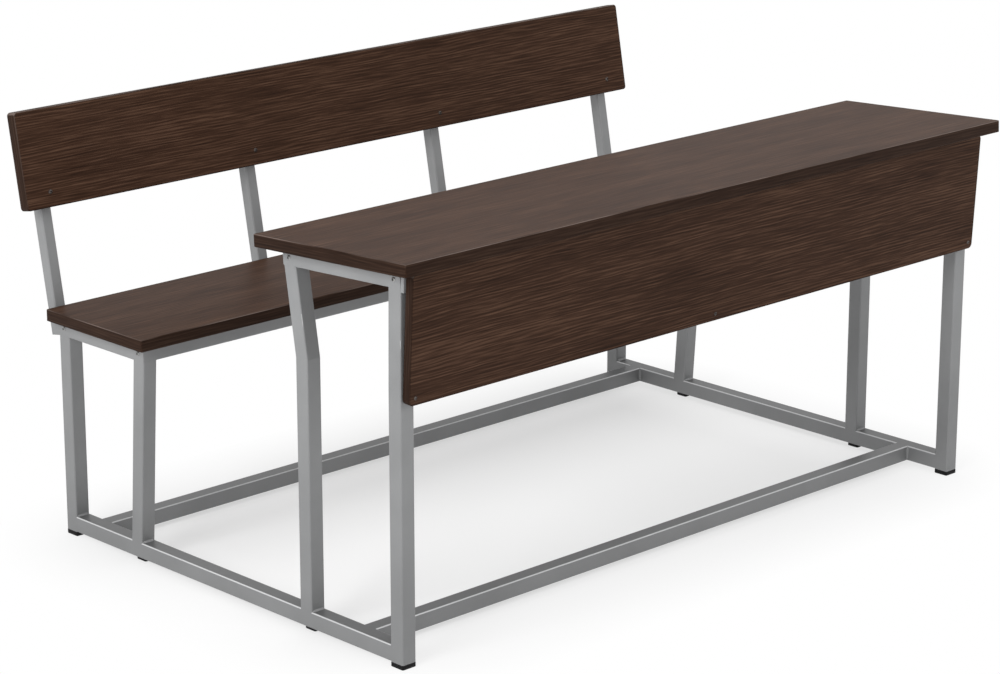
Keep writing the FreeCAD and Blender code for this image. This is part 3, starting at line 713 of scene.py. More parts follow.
class MeshMaker:
    """Gathers rings of points into the mesh of one piece."""

    def __init__(self) -> None:
        """Start an empty mesh."""
        self.mesh = bmesh.new()

    def loft(self, rings: Iterable[Ring], ends: Ends = Ends.FACES) -> None:
        """Join rings of the same count with quads.

        Args:
            rings: Closed rings of points, in order.
            ends: How the first and last rings end.
        """
        made = [[self.mesh.verts.new(point) for point in ring] for ring in rings]
        count = len(made[0])
        if ends is Ends.FACES:
            self.mesh.faces.new(reversed(made[0]))
            self.mesh.faces.new(made[-1])
        else:
            made.append(made[0])
        for low, high in zip(made, made[1:]):
            for index in range(count):
                after = (index + 1) % count
                self.mesh.faces.new((low[index], low[after], high[after], high[index]))

    def turned(self, matrix: Matrix) -> None:
        """Move all points by a matrix."""
        bmesh.ops.transform(self.mesh, matrix=matrix, verts=self.mesh.verts)

    def grain(self, offset: float) -> None:
        """Lay a grain map over the mesh, in metres, with the grain along each face's long way.

        Args:
            offset: Where in the grain this piece is cut from.
        """
        layer = self.mesh.loops.layers.uv.new(GRAIN_MAP)
        self.mesh.normal_update()
        for face in self.mesh.faces:
            across = [abs(part) for part in face.normal]
            way = across.index(max(across))
            for loop in face.loops:
                x, y, z = loop.vert.co
                along, over = ((y, z), (x, z), (x, y))[way]
                loop[layer].uv = (along + offset, over + offset)

    def piece(self, name: str, sharp: float = 40.0) -> bpy.types.Object:
        """Finish the mesh as an object in the scene.

        Args:
            name: The piece's name.
            sharp: Edges that turn more than this many degrees stay sharp.

        Returns:
            The new object.
        """
        bmesh.ops.recalc_face_normals(self.mesh, faces=self.mesh.faces)
        data = bpy.data.meshes.new(name)
        self.mesh.to_mesh(data)
        self.mesh.free()
        data.shade_smooth()
        data.set_sharp_from_angle(angle=math.radians(sharp))
        made = bpy.data.objects.new(name, data)
        bpy.context.scene.collection.objects.link(made)
        return made


def fitted(piece: bpy.types.Object, slot: Slot, material: bpy.types.Material, *nodes: str) -> None:
    """Fix a new piece to the body, with its finish and the nodes that it stands for.

    Args:
        piece: The new piece.
        slot: The record's slot that its finish belongs to; it is not used.
        material: Its finish.
        nodes: The nodes that it stands for.
    """
    piece.data.materials.append(material)
    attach(piece, BODY)
    if nodes:
        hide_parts(*nodes)
    LOG.info("made %s", piece.name)


def painted(names: Iterable[str], material: bpy.types.Material) -> None:
    """Give nodes of the frame their finish.

    Args:
        names: The nodes' names.
        material: The finish.
    """
    for name in names:
        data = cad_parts[name].data
        data.materials.clear()
        data.materials.append(material)
        LOG.info("dressed %s", name)


def points_of(node: str) -> Ring:
    """Give the points of a node's mesh."""
    return [vertex.co.copy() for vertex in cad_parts[node].data.vertices]


def islands_of(node: str) -> list[Ring]:
    """Split a node that holds several like pieces.

    Args:
        node: The node's name.

    Returns:
        The points of each separate piece, from left to right.
    """
    work = bmesh.new()
    work.from_mesh(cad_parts[node].data)
    bmesh.ops.remove_doubles(work, verts=work.verts, dist=SAME_POINT)
    left = set(work.verts)
    found = []
    while left:
        edge = [left.pop()]
        island = list(edge)
        while edge:
            near = {other for vertex in edge for link in vertex.link_edges for other in link.verts}
            edge = [vertex for vertex in near if vertex in left]
            left.difference_update(edge)
            island.extend(edge)
        found.append([vertex.co.copy() for vertex in island])
    work.free()
    return sorted(found, key=lambda island: tuple(round(part, SORT_DIGITS) for part in middle_of(island)))


def box_of(points: Iterable[Vector]) -> tuple[Vector, Vector]:
    """Give the lowest and highest corner round some points."""
    columns = list(zip(*points))
    return Vector(map(min, columns)), Vector(map(max, columns))


def middle_of(points: Iterable[Vector]) -> Vector:
    """Give the middle of the box round some points."""
    low, high = box_of(points)
    return (low + high) / 2


def centre_at(low: Vector, high: Vector, level: float) -> Vector:
    """Give the point at a level on the upright middle line of a box."""
    return Vector(((low.x + high.x) / 2, (low.y + high.y) / 2, level))


def turn_about_x(degrees: float) -> Matrix:
    """Give a turn about the X axis."""
    return Matrix.Rotation(math.radians(degrees), 4, "X")


def moved(rings: Iterable[Ring], matrix: Matrix) -> list[Ring]:
    """Move rings of points by a matrix."""
    return [[matrix @ point for point in ring] for ring in rings]


def turned_ring(reach: Reach, level: float, sides: int = 48) -> Ring:
    """Draw a level ring about the Z axis.

    Args:
        reach: The ring's radius, or what gives it for a direction in radians.
        level: Its height.
        sides: How many lines it has.

    Returns:
        The points, in order.
    """
    ring = []
    for step in range(sides):
        angle = math.tau * step / sides
        radius = reach(angle) if callable(reach) else reach
        ring.append(Vector((radius * math.cos(angle), radius * math.sin(angle), level)))
    return ring


def hexagon_reach(angle: float, flat: float) -> float:
    """Give how far a hexagon reaches from its middle.

    Args:
        angle: The direction, in radians.
        flat: The distance from its middle to its flats.

    Returns:
        The distance to its edge in that direction.
    """
    sector = math.radians(60)
    return flat / math.cos(angle % sector - sector / 2)


def rounded_ring(width: float, depth: float, corner: float, level: float, steps: int = 8) -> Ring:
    """Draw a level rectangle with round corners about the Z axis.

    Args:
        width: Its size along X.
        depth: Its size along Y.
        corner: The radius of its corners.
        level: Its height.
        steps: How many lines each corner has.

    Returns:
        The points, in order.
    """
    ring = []
    for turn, (side, front) in enumerate(((1, 1), (-1, 1), (-1, -1), (1, -1))):
        middle = Vector((side * (width / 2 - corner), front * (depth / 2 - corner), level))
        for step in range(steps + 1):
            angle = math.radians(90) * (turn + step / steps)
            ring.append(middle + Vector((math.cos(angle), math.sin(angle), 0.0)) * corner)
    return ring


def slab_rings(size: Vector, corner: float, ease: float, steps: int = 5) -> list[Ring]:
    """Draw a slab with round corners and eased edges, standing on the origin.

    Args:
        size: Its width, depth and thickness.
        corner: The radius of its corners.
        ease: The radius of its upper and lower edges.
        steps: How many lines each eased edge has.

    Returns:
        The rings from the lower face to the upper one, with a flat rim inside each.
    """
    rim = ease / 2
    levels = [(ease + rim, 0.0)]
    for step in range(steps + 1):
        angle = math.radians(90) * step / steps
        levels.append((ease * (1 - math.sin(angle)), ease * (1 - math.cos(angle))))
    levels += [(inset, size.z - level) for inset, level in reversed(levels)]
    return [rounded_ring(size.x - 2 * inset, size.y - 2 * inset, corner - inset, level)
            for inset, level in levels]


@dataclass
class Board:
    """One laminated board with its edge band.

    Attributes:
        node: The board's node, whose band has the same name and more.
        turn: How the lying board is turned about X, in degrees.
        corner: The radius of its corners, wider than the band.
        ease: The radius of the band's edges.
        band: The thickness of the band.
        crisp: The radius of the board's own edges, where the band meets it.
    """

    node: str
    turn: float
    corner: float
    ease: float = 0.0018
    band: float = 0.002
    crisp: float = 0.00015

    def band_rings(self, size: Vector) -> list[Ring]:
        """Draw the band round the lying board.

        Args:
            size: The whole board's width, depth and thickness.

        Returns:
            The rings up its outer side and down its inner side.
        """
        outer = slab_rings(size, self.corner, self.ease)[1:-1]
        inner = [rounded_ring(size.x - 2 * self.band, size.y - 2 * self.band, self.corner - self.band, level)
                 for level in (size.z, 0.0)]
        return outer + inner

    def build(self, face: bpy.types.Material, edge: bpy.types.Material, offset: float) -> None:
        """Build the board and its band in the place of their nodes.

        Args:
            face: The laminate.
            edge: The band's finish.
            offset: Where in the grain it is cut from.
        """
        band_node = f"{self.node}_edge_band"
        back = turn_about_x(-self.turn)
        low, high = box_of(back @ point for node in (self.node, band_node) for point in points_of(node))
        base = Matrix.Translation(centre_at(low, high, low.z))
        size = high - low
        core = size - Vector((2 * self.band, 2 * self.band, 0.0))
        board_maker, band_maker = MeshMaker(), MeshMaker()
        board_maker.loft(slab_rings(core, self.corner - self.band, self.crisp, steps=2))
        band_maker.loft(self.band_rings(size), Ends.JOINED)
        for maker in (board_maker, band_maker):
            maker.grain(offset)
            maker.turned(turn_about_x(self.turn) @ base)
        fitted(board_maker.piece(f"{self.node}_laminated"), Slot.BOARD, face, self.node)
        fitted(band_maker.piece(f"{band_node}_eased"), Slot.BAND, edge, band_node)


@dataclass
class Boards:
    """The desk top, front panel, seat and back of the unit.

    Attributes:
        cut: How far apart in the grain the boards are cut.
        level_corner: The radius of the corners of the desk top and the seat.
        panel_corner: The radius of the front panel's corners.
        back_corner: The radius of the back board's corners.
    """

    cut: float = 3.7
    level_corner: float = 0.003
    panel_corner: float = 0.010
    back_corner: float = 0.007

    def build(self, face_finish: LaminateFinish, edge_finish: LaminateFinish) -> None:
        """Build all four boards.

        Args:
            face_finish: The finish of the boards' faces.
            edge_finish: The finish of their edge bands.
        """
        face, edge = face_finish.material(), edge_finish.material()
        boards = (
            Board("desk_top", -LEANS.desk, self.level_corner),
            Board("seat_board", 0.0, self.level_corner),
            Board("modesty_panel", 90 + LEANS.panel, self.panel_corner),
            Board("back_board", 90 - LEANS.back, self.back_corner),
        )
        for index, board in enumerate(boards):
            board.build(face, edge, index * self.cut)


@dataclass
class Butt:
    """A tube's square end where it is welded to the side of another tube.

    Attributes:
        middle: The middle of the end.
        into: The way from the end into the other tube.
        along: The way along the other tube.
        away: The way back along the welded tube.
        beads: On which sides, counted along the other tube, a bead lies in the corner.
    """

    middle: Vector
    into: Vector
    along: Vector
    away: Vector
    beads: tuple[int, ...] = (-1, 1)


@dataclass
class Welder:
    """Welds square tubes: ground flush on the flat faces, with small beads in the corners.

    Attributes:
        tube: The side of the tubes.
        corner: The radius of their corners.
        leg: The size of a bead.
        wave: The length of a bead's ripples.
        ripple: How much the ripples swell it, as a share.
        tip: How thick its ends are, as a share.
        taper: How fast it gets thicker from its ends on, as a share for its whole length.
        bow: How far its middle bulges, as a share of its size.
        lap: How far a weld lies over the faces that it joins.
        bite: How far it reaches into what it joins.
        sweep: How far round a tube's corner it goes, in degrees.
        steps: How many lines each round corner and each ripple has.
        maker: Gathers the welds.
    """

    tube: float = 0.032
    corner: float = 0.003
    leg: float = 0.0032
    wave: float = 0.0022
    ripple: float = 0.10
    tip: float = 0.35
    taper: float = 6.0
    bow: float = 0.44
    lap: float = 0.00004
    bite: float = 0.0002
    sweep: float = 88.0
    steps: int = 6
    maker: MeshMaker = field(default_factory=MeshMaker)

    def weld(self, butt: Butt) -> None:
        """Weld one end all round.

        Args:
            butt: The end that is welded.
        """
        across = butt.into.cross(butt.along).normalized()
        for face in (across, -across):
            self.flush(butt, face)
        for side in butt.beads:
            start = butt.middle + butt.along * (side * self.tube / 2)
            self.bead(start, butt.away, butt.along * side, across, self.tube - 2 * self.corner)

    def flush(self, butt: Butt, face: Vector) -> None:
        """Fill the groove between an end and the round corner that it meets, level with the faces.

        Args:
            butt: The end that is welded.
            face: The way out of the two level faces.
        """
        half, radius = self.tube / 2, self.corner
        turns = [math.radians(self.sweep) * step / self.steps for step in range(self.steps + 1)]
        spots = [half - radius + radius * math.sin(turn) for turn in turns]
        rings = []
        for spot in [-spot for spot in reversed(spots)] + spots:
            past = max(0.0, abs(spot) - half + radius)
            drop = radius - math.sqrt(radius * radius - past * past)
            top = math.asin((radius - drop) / radius)
            reach = radius * (1 - math.cos(top)) + self.bite
            profile = [(-self.bite, drop - self.lap), (reach, drop - self.lap)]
            for step in range(self.steps + 1):
                angle = top * (1 - step / self.steps)
                profile.append((radius * (1 - math.cos(angle)), radius * (1 - math.sin(angle))))
            profile.append((-self.bite, radius))
            outer = butt.middle + face * half + butt.along * spot
            rings.append([outer + butt.into * deep - face * low for deep, low in profile])
        self.maker.loft(rings)

    def bead(self, start: Vector, rise: Vector, spread: Vector, run: Vector, length: float) -> None:
        """Lay a rippled bead in an inner corner.

        Args:
            start: The middle of the corner's line.
            rise: The way up one of its faces.
            spread: The way along the other.
            run: The way along the corner.
            length: How long the bead is.
        """
        waves = round(length / self.wave)
        count = waves * self.steps
        rings = []
        for step in range(count + 1):
            share = step / count
            swell = 1 + self.ripple * math.cos(math.tau * waves * share)
            size = self.leg * swell * min(1.0, self.tip + self.taper * min(share, 1 - share))
            spot = start + run * (length * (share - 0.5))
            root = spot - (rise + spread) * self.bite
            crown = spot + (rise + spread) * (self.bow * size)
            rings.append([root, spot + rise * size, crown, spot + spread * size])
        self.maker.loft(rings)

    def wedge(self, corners: Ring, run: Vector) -> None:
        """Fill a narrow gap with straight sides.

        Args:
            corners: The gap's corners at one end.
            run: The way to the other end, and how far it is.
        """
        self.maker.loft([corners, [point + run for point in corners]])


@dataclass
class EndFrame:
    """One end of the unit: five upright tubes and three rails, welded together.

    Attributes:
        side: Left or right.
        tube: The side of its tubes.
        bend: The height of the bend in the desk legs.
        tubes: Its tubes.
    """

    side: str
    tube: float = 0.032
    bend: float = 0.518
    tubes: tuple[str, ...] = ("floor_rail", "rear_leg", "seat_leg", "desk_rear_leg", "desk_front_leg",
                              "seat_side_rail", "desk_side_rail")

    def box(self, piece: str) -> tuple[Vector, Vector]:
        """Give the box of one of this end's nodes."""
        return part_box(f"{self.side}_{piece}")

    def lower_butts(self) -> list[Butt]:
        """Find the welds round the floor rail."""
        low, high = self.box("floor_rail")
        x, level = (low.x + high.x) / 2, (low.z + high.z) / 2
        half = self.tube / 2
        desk_leg = self.box("desk_rear_leg")[0].y + half
        seat_low, seat_high = self.box("seat_leg")
        lean = Vector((0.0, seat_low.y - seat_high.y + self.tube, seat_high.z - seat_low.z)).normalized()
        found = [
            Butt(Vector((x, low.y, level)), -Y_AXIS, Z_AXIS, Y_AXIS, (1,)),
            Butt(Vector((x, high.y, level)), Y_AXIS, Z_AXIS, -Y_AXIS, (1,)),
            Butt(Vector((x, desk_leg, high.z)), -Z_AXIS, Y_AXIS, Z_AXIS),
            Butt(Vector((x, seat_high.y - half, high.z)), -Z_AXIS, Y_AXIS, lean),
        ]
        outward = X_AXIS * SIDES[self.side]
        for stretcher in ("front_floor_stretcher", "rear_floor_stretcher"):
            centre = middle_of(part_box(stretcher))
            centre.x = x - outward.x * half
            found.append(Butt(centre, outward, Y_AXIS, -outward))
        return found

    def upper_butts(self) -> list[Butt]:
        """Find the welds under the seat rail and the desk rail."""
        half = self.tube / 2
        seat_low, seat_high = self.box("seat_leg")
        x = (seat_low.x + seat_high.x) / 2
        lean = Vector((0.0, seat_high.y - self.tube - seat_low.y, seat_low.z - seat_high.z)).normalized()
        rear_low, rear_high = self.box("rear_leg")
        rear = centre_at(rear_low, rear_high, rear_high.z)
        found = [
            Butt(Vector((x, seat_low.y + half, seat_high.z)), Z_AXIS, Y_AXIS, lean, (1,)),
            Butt(rear, Z_AXIS, Y_AXIS, -Z_AXIS, (-1,)),
        ]
        tilt = turn_about_x(-LEANS.desk)
        low, high = box_of(tilt.inverted() @ point for point in points_of(f"{self.side}_desk_side_rail"))
        for leg, end, sign in (("desk_front_leg", low.y, 1), ("desk_rear_leg", high.y, -1)):
            leg_low, leg_high = self.box(leg)
            flare = sign * (leg_high.y - leg_low.y - self.tube)
            fall = Vector((0.0, flare, self.bend - leg_high.z)).normalized()
            middle = tilt @ Vector((x, end + sign * half, low.z))
            found.append(Butt(middle, tilt @ Z_AXIS, tilt @ Y_AXIS, fall, (sign,)))
        return found

    def build(self, material: bpy.types.Material, weld_material: bpy.types.Material) -> None:
        """Paint the tubes and lay the welds.

        Args:
            material: The frame's paint.
            weld_material: The paint over the welds.
        """
        painted([f"{self.side}_{tube}" for tube in self.tubes], material)
        welder = Welder(self.tube)
        for butt in self.lower_butts() + self.upper_butts():
            welder.weld(butt)
        fitted(welder.maker.piece(f"{self.side}_frame_welds"), Slot.FRAME, weld_material)


@dataclass
class LongRails:
    """The rails between the two ends, and the plates that close the side rails.

    Attributes:
        plate: The side of a plate.
        corner: The radius of a plate's corners.
        ease: The rounding of a plate's edges.
        proud: How far a plate stands out of its rail.
        depth: A plate's thickness.
        rails: The rails and bars.
    """

    plate: float = 0.0319
    corner: float = 0.003
    ease: float = 0.0006
    proud: float = 0.0003
    depth: float = 0.003
    rails: tuple[str, ...] = ("seat_front_rail", "seat_rear_rail", "desk_front_rail", "desk_rear_rail",
                              "front_floor_stretcher", "rear_floor_stretcher", "panel_bar", "panel_stay")

    def close(self, node: str, slope: float, material: bpy.types.Material) -> None:
        """Close the ends of two side rails.

        Args:
            node: The node that holds the plates.
            slope: The fall of the rails, in degrees.
            material: The frame's paint.
        """
        maker = MeshMaker()
        spots = [middle_of(plate) for plate in islands_of(node)]
        centre = sum(spots, Vector()) / len(spots)
        size = Vector((self.plate, self.plate, self.depth + self.proud))
        inward = Matrix.Translation(Z_AXIS * (-self.depth / 2))
        rings = moved(slab_rings(size, self.corner, self.ease, steps=3), inward)
        for spot in spots:
            facing = 90 if spot.y < centre.y else -90
            maker.loft(moved(rings, Matrix.Translation(spot) @ turn_about_x(facing - slope)))
        fitted(maker.piece(node.replace("plates", "ends")), Slot.FRAME, material, node)

    def build(self, material: bpy.types.Material) -> None:
        """Paint the rails and close the side rails.

        Args:
            material: The frame's paint.
        """
        painted(self.rails, material)
        self.close("desk_side_rail_plates", LEANS.desk, material)
        self.close("seat_side_rail_plates", 0.0, material)


@dataclass
class BackPosts:
    """The four leaning posts behind the seat, with their welds and caps.

    Attributes:
        post: The side of a post.
        corner: The radius of a cap's corners.
        ease: The rounding of a cap's edges.
        cap: A cap's height above its post.
    """

    post: float = 0.025
    corner: float = 0.0035
    ease: float = 0.0014
    cap: float = 0.003

    def weld(self, material: bpy.types.Material) -> None:
        """Fill the narrow gap between each post and the seat's rear rail.

        Args:
            material: The paint over the welds.
        """
        welder = Welder(self.post)
        low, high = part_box("seat_rear_rail")
        gap = (high.z - low.z) * math.tan(math.radians(LEANS.back))
        inside, behind = high.y - welder.corner, high.y + welder.corner
        spots = ((inside, low.z), (behind, low.z), (behind + gap, high.z), (inside, high.z))
        run = X_AXIS * (self.post + 2 * welder.lap)
        for name in POSTS:
            post_low, post_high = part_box(f"{name}_back_post")
            welder.wedge([Vector((post_low.x - welder.lap, *spot)) for spot in spots], run)
            for side, x in ((-1, post_low.x), (1, post_high.x)):
                if low.x < x < high.x:
                    foot = Vector((x, high.y, (low.z + high.z) / 2))
                    welder.bead(foot, Y_AXIS, X_AXIS * side, Z_AXIS, high.z - low.z - 2 * welder.corner)
        fitted(welder.maker.piece("post_welds"), Slot.FRAME, material)

    def close(self, plastic: bpy.types.Material) -> None:
        """Set a cap on each post.

        Args:
            plastic: The caps' finish.
        """
        maker = MeshMaker()
        tilt = turn_about_x(-LEANS.back)
        top = slab_rings(Vector((self.post, self.post, self.cap)), self.corner, self.ease, steps=4)
        for cap in islands_of("back_post_caps"):
            low, high = box_of(tilt.inverted() @ point for point in cap)
            side = high.x - low.x - 2 * self.corner
            plug = [rounded_ring(side, side, self.ease, level) for level in (low.z - high.z + self.cap, 0.0)]
            matrix = tilt @ Matrix.Translation(centre_at(low, high, high.z - self.cap))
            for rings in (top, plug):
                maker.loft(moved(rings, matrix))
        fitted(maker.piece("back_post_end_caps"), Slot.PLASTIC, plastic, "back_post_caps")

    def build(self, paint: bpy.types.Material, weld_paint: bpy.types.Material,
              plastic: bpy.types.Material) -> None:
        """Paint the posts, weld their feet and cap their tops.

        Args:
            paint: The frame's paint.
            weld_paint: The paint over the welds.
            plastic: The caps' finish.
        """
        painted([f"{name}_back_post" for name in POSTS], paint)
        self.weld(weld_paint)
        self.close(plastic)


@dataclass
class Feet:
    """The plastic feet under the corner legs and the small pads under the floor rails.

    Attributes:
        height: The height of the tread of a foot.
        flare: How much wider than its leg a foot is.
        inset: How much narrower than its node a pad is.
        corner: The radius of a foot's corners.
        ease: The rounding of a foot's edges.
        groove: The depth of the parting groove round a foot.
        belt: Places up the tread, as shares of its height, and whether the groove is cut there.
    """

    height: float = 0.009
    flare: float = 0.0008
    inset: float = 0.010
    corner: float = 0.0036
    ease: float = 0.0013
    groove: float = 0.0005
    belt: tuple[tuple[float, bool], ...] = ((0.52, False), (0.55, True), (0.62, True), (0.65, False))

    def tread_rings(self, width: float, depth: float) -> list[Ring]:
        """Draw a tread with a groove round its upper half.

        Args:
            width: Its size along X.
            depth: Its size along Y.

        Returns:
            The rings from the floor up.
        """
        rings = slab_rings(Vector((width, depth, self.height)), self.corner, self.ease, steps=4)
        middle = len(rings) // 2
        narrow = (width - 2 * self.groove, depth - 2 * self.groove, self.corner - self.groove)
        belt = [rounded_ring(*(narrow if cut else (width, depth, self.corner)), self.height * share)
                for share, cut in self.belt]
        return rings[:middle] + belt + rings[middle:]

    def mould(self, node: str, wider: float, material: bpy.types.Material) -> None:
        """Build a foot or pad, with its plug, in the place of its node.

        Args:
            node: The node's name.
            wider: How much wider than the node it is; less than 0 makes it narrower, across the rail only.
            material: The plastic.
        """
        low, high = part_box(node)
        size = high - low
        matrix = Matrix.Translation(centre_at(low, high, 0.0))
        side = min(size.x, size.y) - 2 * self.corner - self.inset
        plug = [rounded_ring(side, side, self.ease, level) for level in (self.height, size.z)]
        maker = MeshMaker()
        for rings in (self.tread_rings(size.x + wider, size.y + max(wider, 0.0)), plug):
            maker.loft(moved(rings, matrix))
        fitted(maker.piece(f"{node}_moulded"), Slot.PLASTIC, material, node)

    def build(self, material: bpy.types.Material) -> None:
        """Build all feet and pads.

        Args:
            material: The plastic.
        """
        for side in SIDES:
            for end in ("front", "rear"):
                self.mould(f"{side}_{end}_foot", self.flare, material)
                self.mould(f"{side}_{end}_pad", -self.inset, material)


@dataclass(frozen=True)
class Headed:
    """A screw or bolt: a domed head with a driver recess, and its shank.

    Attributes:
        head: The head's diameter.
        height: The head's height.
        shank: The shank's diameter.
        recess: The driver recess.
        recess_share: The recess's reach, as a share of the head's diameter.
        arm_share: The reach between a cross's arms, as a share of that along them.
        recess_steps: The recess's edge, wall and floor, as shares of its reach and of the head's height.
        seat_share: The radius of the head's underside, as a share of the head's.
        rim_share: The height of the head's rim, as a share of the head's.
        dome_shares: Places up the dome, as shares of its height.
        dome_fall: How much of its radius the dome would lose at its very top, as a share.
        pitch: The spacing of the thread.
        core_share: The radius of the thread's core, as a share of the shank's diameter.
        thread_share: How much of the shank has a thread.
        most_turns: How many turns of the thread are drawn at most.
    """

    head: float
    height: float
    shank: float
    recess: Recess
    recess_share: float = 0.26
    arm_share: float = 0.25
    recess_steps: tuple[tuple[float, float], ...] = ((1.06, 1.0), (1.0, 0.97), (0.92, 0.3))
    seat_share: float = 0.97
    rim_share: float = 0.1
    dome_shares: tuple[float, ...] = (0.25, 0.45, 0.65, 0.82, 0.94)
    dome_fall: float = 0.55
    pitch: float = 0.001
    core_share: float = 0.42
    thread_share: float = 0.3
    most_turns: int = 8

    def recess_reach(self, angle: float) -> float:
        """Give how far the recess reaches from the middle of the head.

        Args:
            angle: The direction, in radians.

        Returns:
            The recess's edge in that direction.
        """
        reach = self.head * self.recess_share
        if self.recess is Recess.CROSS:
            return reach * (self.arm_share + (1 - self.arm_share) * math.cos(2 * angle) ** 4)
        return hexagon_reach(angle, reach * math.cos(math.radians(30)))

    def shank_rings(self, length: float) -> list[Ring]:
        """Draw the shank and its thread, below height zero.

        Args:
            length: The shank's length.

        Returns:
            The rings from the tip up.
        """
        thin, full = self.shank * self.core_share, self.shank / 2
        rings = [turned_ring(thin / 2, -length), turned_ring(thin, -length + self.pitch)]
        turns = min(self.most_turns, int(length * self.thread_share / self.pitch))
        for turn in range(turns):
            level = -length + self.pitch * (turn + 1.5)
            rings += [turned_ring(full, level), turned_ring(thin, level + self.pitch / 2)]
        return rings + [turned_ring(full, -length + self.pitch * (turns + 2)), turned_ring(full, 0.0)]

    def head_rings(self) -> list[Ring]:
        """Draw the head and its recess, above height zero.

        Returns:
            The rings from the underside to the floor of the recess.
        """
        half, rim = self.head / 2, self.height * self.rim_share
        rings = [turned_ring(half * self.seat_share, 0.0), turned_ring(half, rim)]
        for share in self.dome_shares:
            radius = half * (1 - self.dome_fall * share * share)
            rings.append(turned_ring(radius, rim + (self.height - rim) * share))
        recess = turned_ring(self.recess_reach, 0.0)
        for share, level in self.recess_steps:
            rings.append([point * share + Z_AXIS * (self.height * level) for point in recess])
        return rings


@dataclass(frozen=True)
class Nut:
    """A hexagon nut with its corners turned off.

    Attributes:
        width: Its width across its flats.
        bore: The diameter of its bore.
        turned_share: The radius that its ends are turned to, as a share of half its width.
        bevel_share: The height of its bevels, as a share of its own.
    """

    width: float
    bore: float
    turned_share: float = 1.04
    bevel_share: float = 0.12

    def reach(self, angle: float) -> float:
        """Give how far its sides reach from its middle in a direction."""
        return hexagon_reach(angle, self.width / 2)

    def turned_reach(self, angle: float) -> float:
        """Give how far its turned ends reach from its middle in a direction."""
        return min(self.reach(angle), self.width / 2 * self.turned_share)

    def rings(self, height: float) -> list[Ring]:
        """Draw the nut, standing on height zero.

        Args:
            height: The nut's height.

        Returns:
            The rings up its sides and into its bore.
        """
        bevel = height * self.bevel_share
        return [
            turned_ring(self.bore / 2, 0.0),
            turned_ring(self.turned_reach, 0.0),
            turned_ring(self.reach, bevel),
            turned_ring(self.reach, height - bevel),
            turned_ring(self.turned_reach, height),
            turned_ring(self.bore / 2 + bevel, height),
            turned_ring(self.bore / 2, height - bevel),
        ]


@dataclass
class FastenerGroup:
    """Like screws or bolts that share a node.

    Attributes:
        node: Their node.
        axis: The way out of their heads.
        kind: What they look like.
        slot: The slot of their finish.
        both_ways: Whether those left of the middle face the other way.
    """

    node: str
    axis: Vector
    kind: Headed
    slot: Slot = Slot.STEEL
    both_ways: bool = False

    def build(self, material: bpy.types.Material) -> None:
        """Build the group in the place of its node.

        Args:
            material: The finish.
        """
        maker = MeshMaker()
        for island in islands_of(self.node):
            out = self.axis.copy()
            if self.both_ways and middle_of(island).x < 0:
                out.x = -out.x
            turn = Z_AXIS.rotation_difference(out).to_matrix().to_4x4()
            low, high = box_of(turn.inverted() @ point for point in island)
            seat = centre_at(low, high, high.z - self.kind.height)
            rings = self.kind.shank_rings(seat.z - low.z) + self.kind.head_rings()
            maker.loft(moved(rings, turn @ Matrix.Translation(seat)))
        fitted(maker.piece(f"{self.node}_turned"), self.slot, material, self.node)


@dataclass
class Fasteners:
    """All screws, bolts and nuts.

    Attributes:
        bolt: What the bolts look like.
        screw: What the board screws look like.
        nut: What the nuts look like.
    """

    bolt: Headed = Headed(head=0.009, height=0.0022, shank=0.005, recess=Recess.HEXAGON)
    screw: Headed = Headed(head=0.0075, height=0.0018, shank=0.0042, recess=Recess.CROSS)
    nut: Nut = Nut(width=0.008, bore=0.005)

    def groups(self) -> list[FastenerGroup]:
        """List the groups and the ways that their heads face."""
        back = turn_about_x(-LEANS.back)
        panel = turn_about_x(LEANS.panel)
        desk = turn_about_x(-LEANS.desk)
        return [
            FastenerGroup("back_board_bolts", back @ -Y_AXIS, self.bolt, Slot.DARK_STEEL),
            FastenerGroup("panel_screws", panel @ -Y_AXIS, self.screw, Slot.DARK_STEEL),
            FastenerGroup("panel_bar_screws", panel @ Y_AXIS, self.screw),
            FastenerGroup("desk_top_screws", desk @ -Z_AXIS, self.screw),
            FastenerGroup("seat_screws", -Z_AXIS, self.screw),
            FastenerGroup("desk_rail_bolts", X_AXIS, self.bolt, both_ways=True),
            FastenerGroup("seat_rail_bolts", X_AXIS, self.bolt, both_ways=True),
        ]

    def build_nuts(self, material: bpy.types.Material) -> None:
        """Build the nuts behind the posts.

        Args:
            material: The finish.
        """
        maker = MeshMaker()
        turn = turn_about_x(-LEANS.back - 90)
        for island in islands_of("back_board_nuts"):
            low, high = box_of(turn.inverted() @ point for point in island)
            seat = Matrix.Translation(centre_at(low, high, low.z))
            maker.loft(moved(self.nut.rings(high.z - low.z), turn @ seat), Ends.JOINED)
        fitted(maker.piece("back_board_hex_nuts", sharp=20.0), Slot.STEEL, material, "back_board_nuts")

    def build(self, plated: bpy.types.Material, lacquered: bpy.types.Material) -> None:
        """Build every group.

        Args:
            plated: The finish of bare plated steel.
            lacquered: The finish of the dark heads on the boards.
        """
        for group in self.groups():
            group.build(lacquered if group.slot is Slot.DARK_STEEL else plated)
        self.build_nuts(plated)
        painted(("desk_rail_plugs", "seat_rail_plugs"), plated)


@dataclass(frozen=True)
class SoftLight:
    """A soft studio lamp that points at the object.

    Attributes:
        name: The lamp's name.
        place: Where it stands.
        target: What it points at.
        size: Its width.
        power: Its power in watts.
    """

    name: str
    place: tuple[float, float, float]
    target: tuple[float, float, float]
    size: float
    power: float

    def build(self) -> None:
        """Hang the lamp."""
        lamp = bpy.data.lights.new(self.name, "AREA")
        lamp.shape = "DISK"
        lamp.size = self.size
        lamp.energy = self.power
        hung = bpy.data.objects.new(self.name, lamp)
        hung.location = self.place
        way = Vector(self.target) - Vector(self.place)
        hung.rotation_euler = way.to_track_quat("-Z", "Y").to_euler()
        hung.visible_camera = False
        hung.visible_glossy = False
        bpy.context.scene.collection.objects.link(hung)


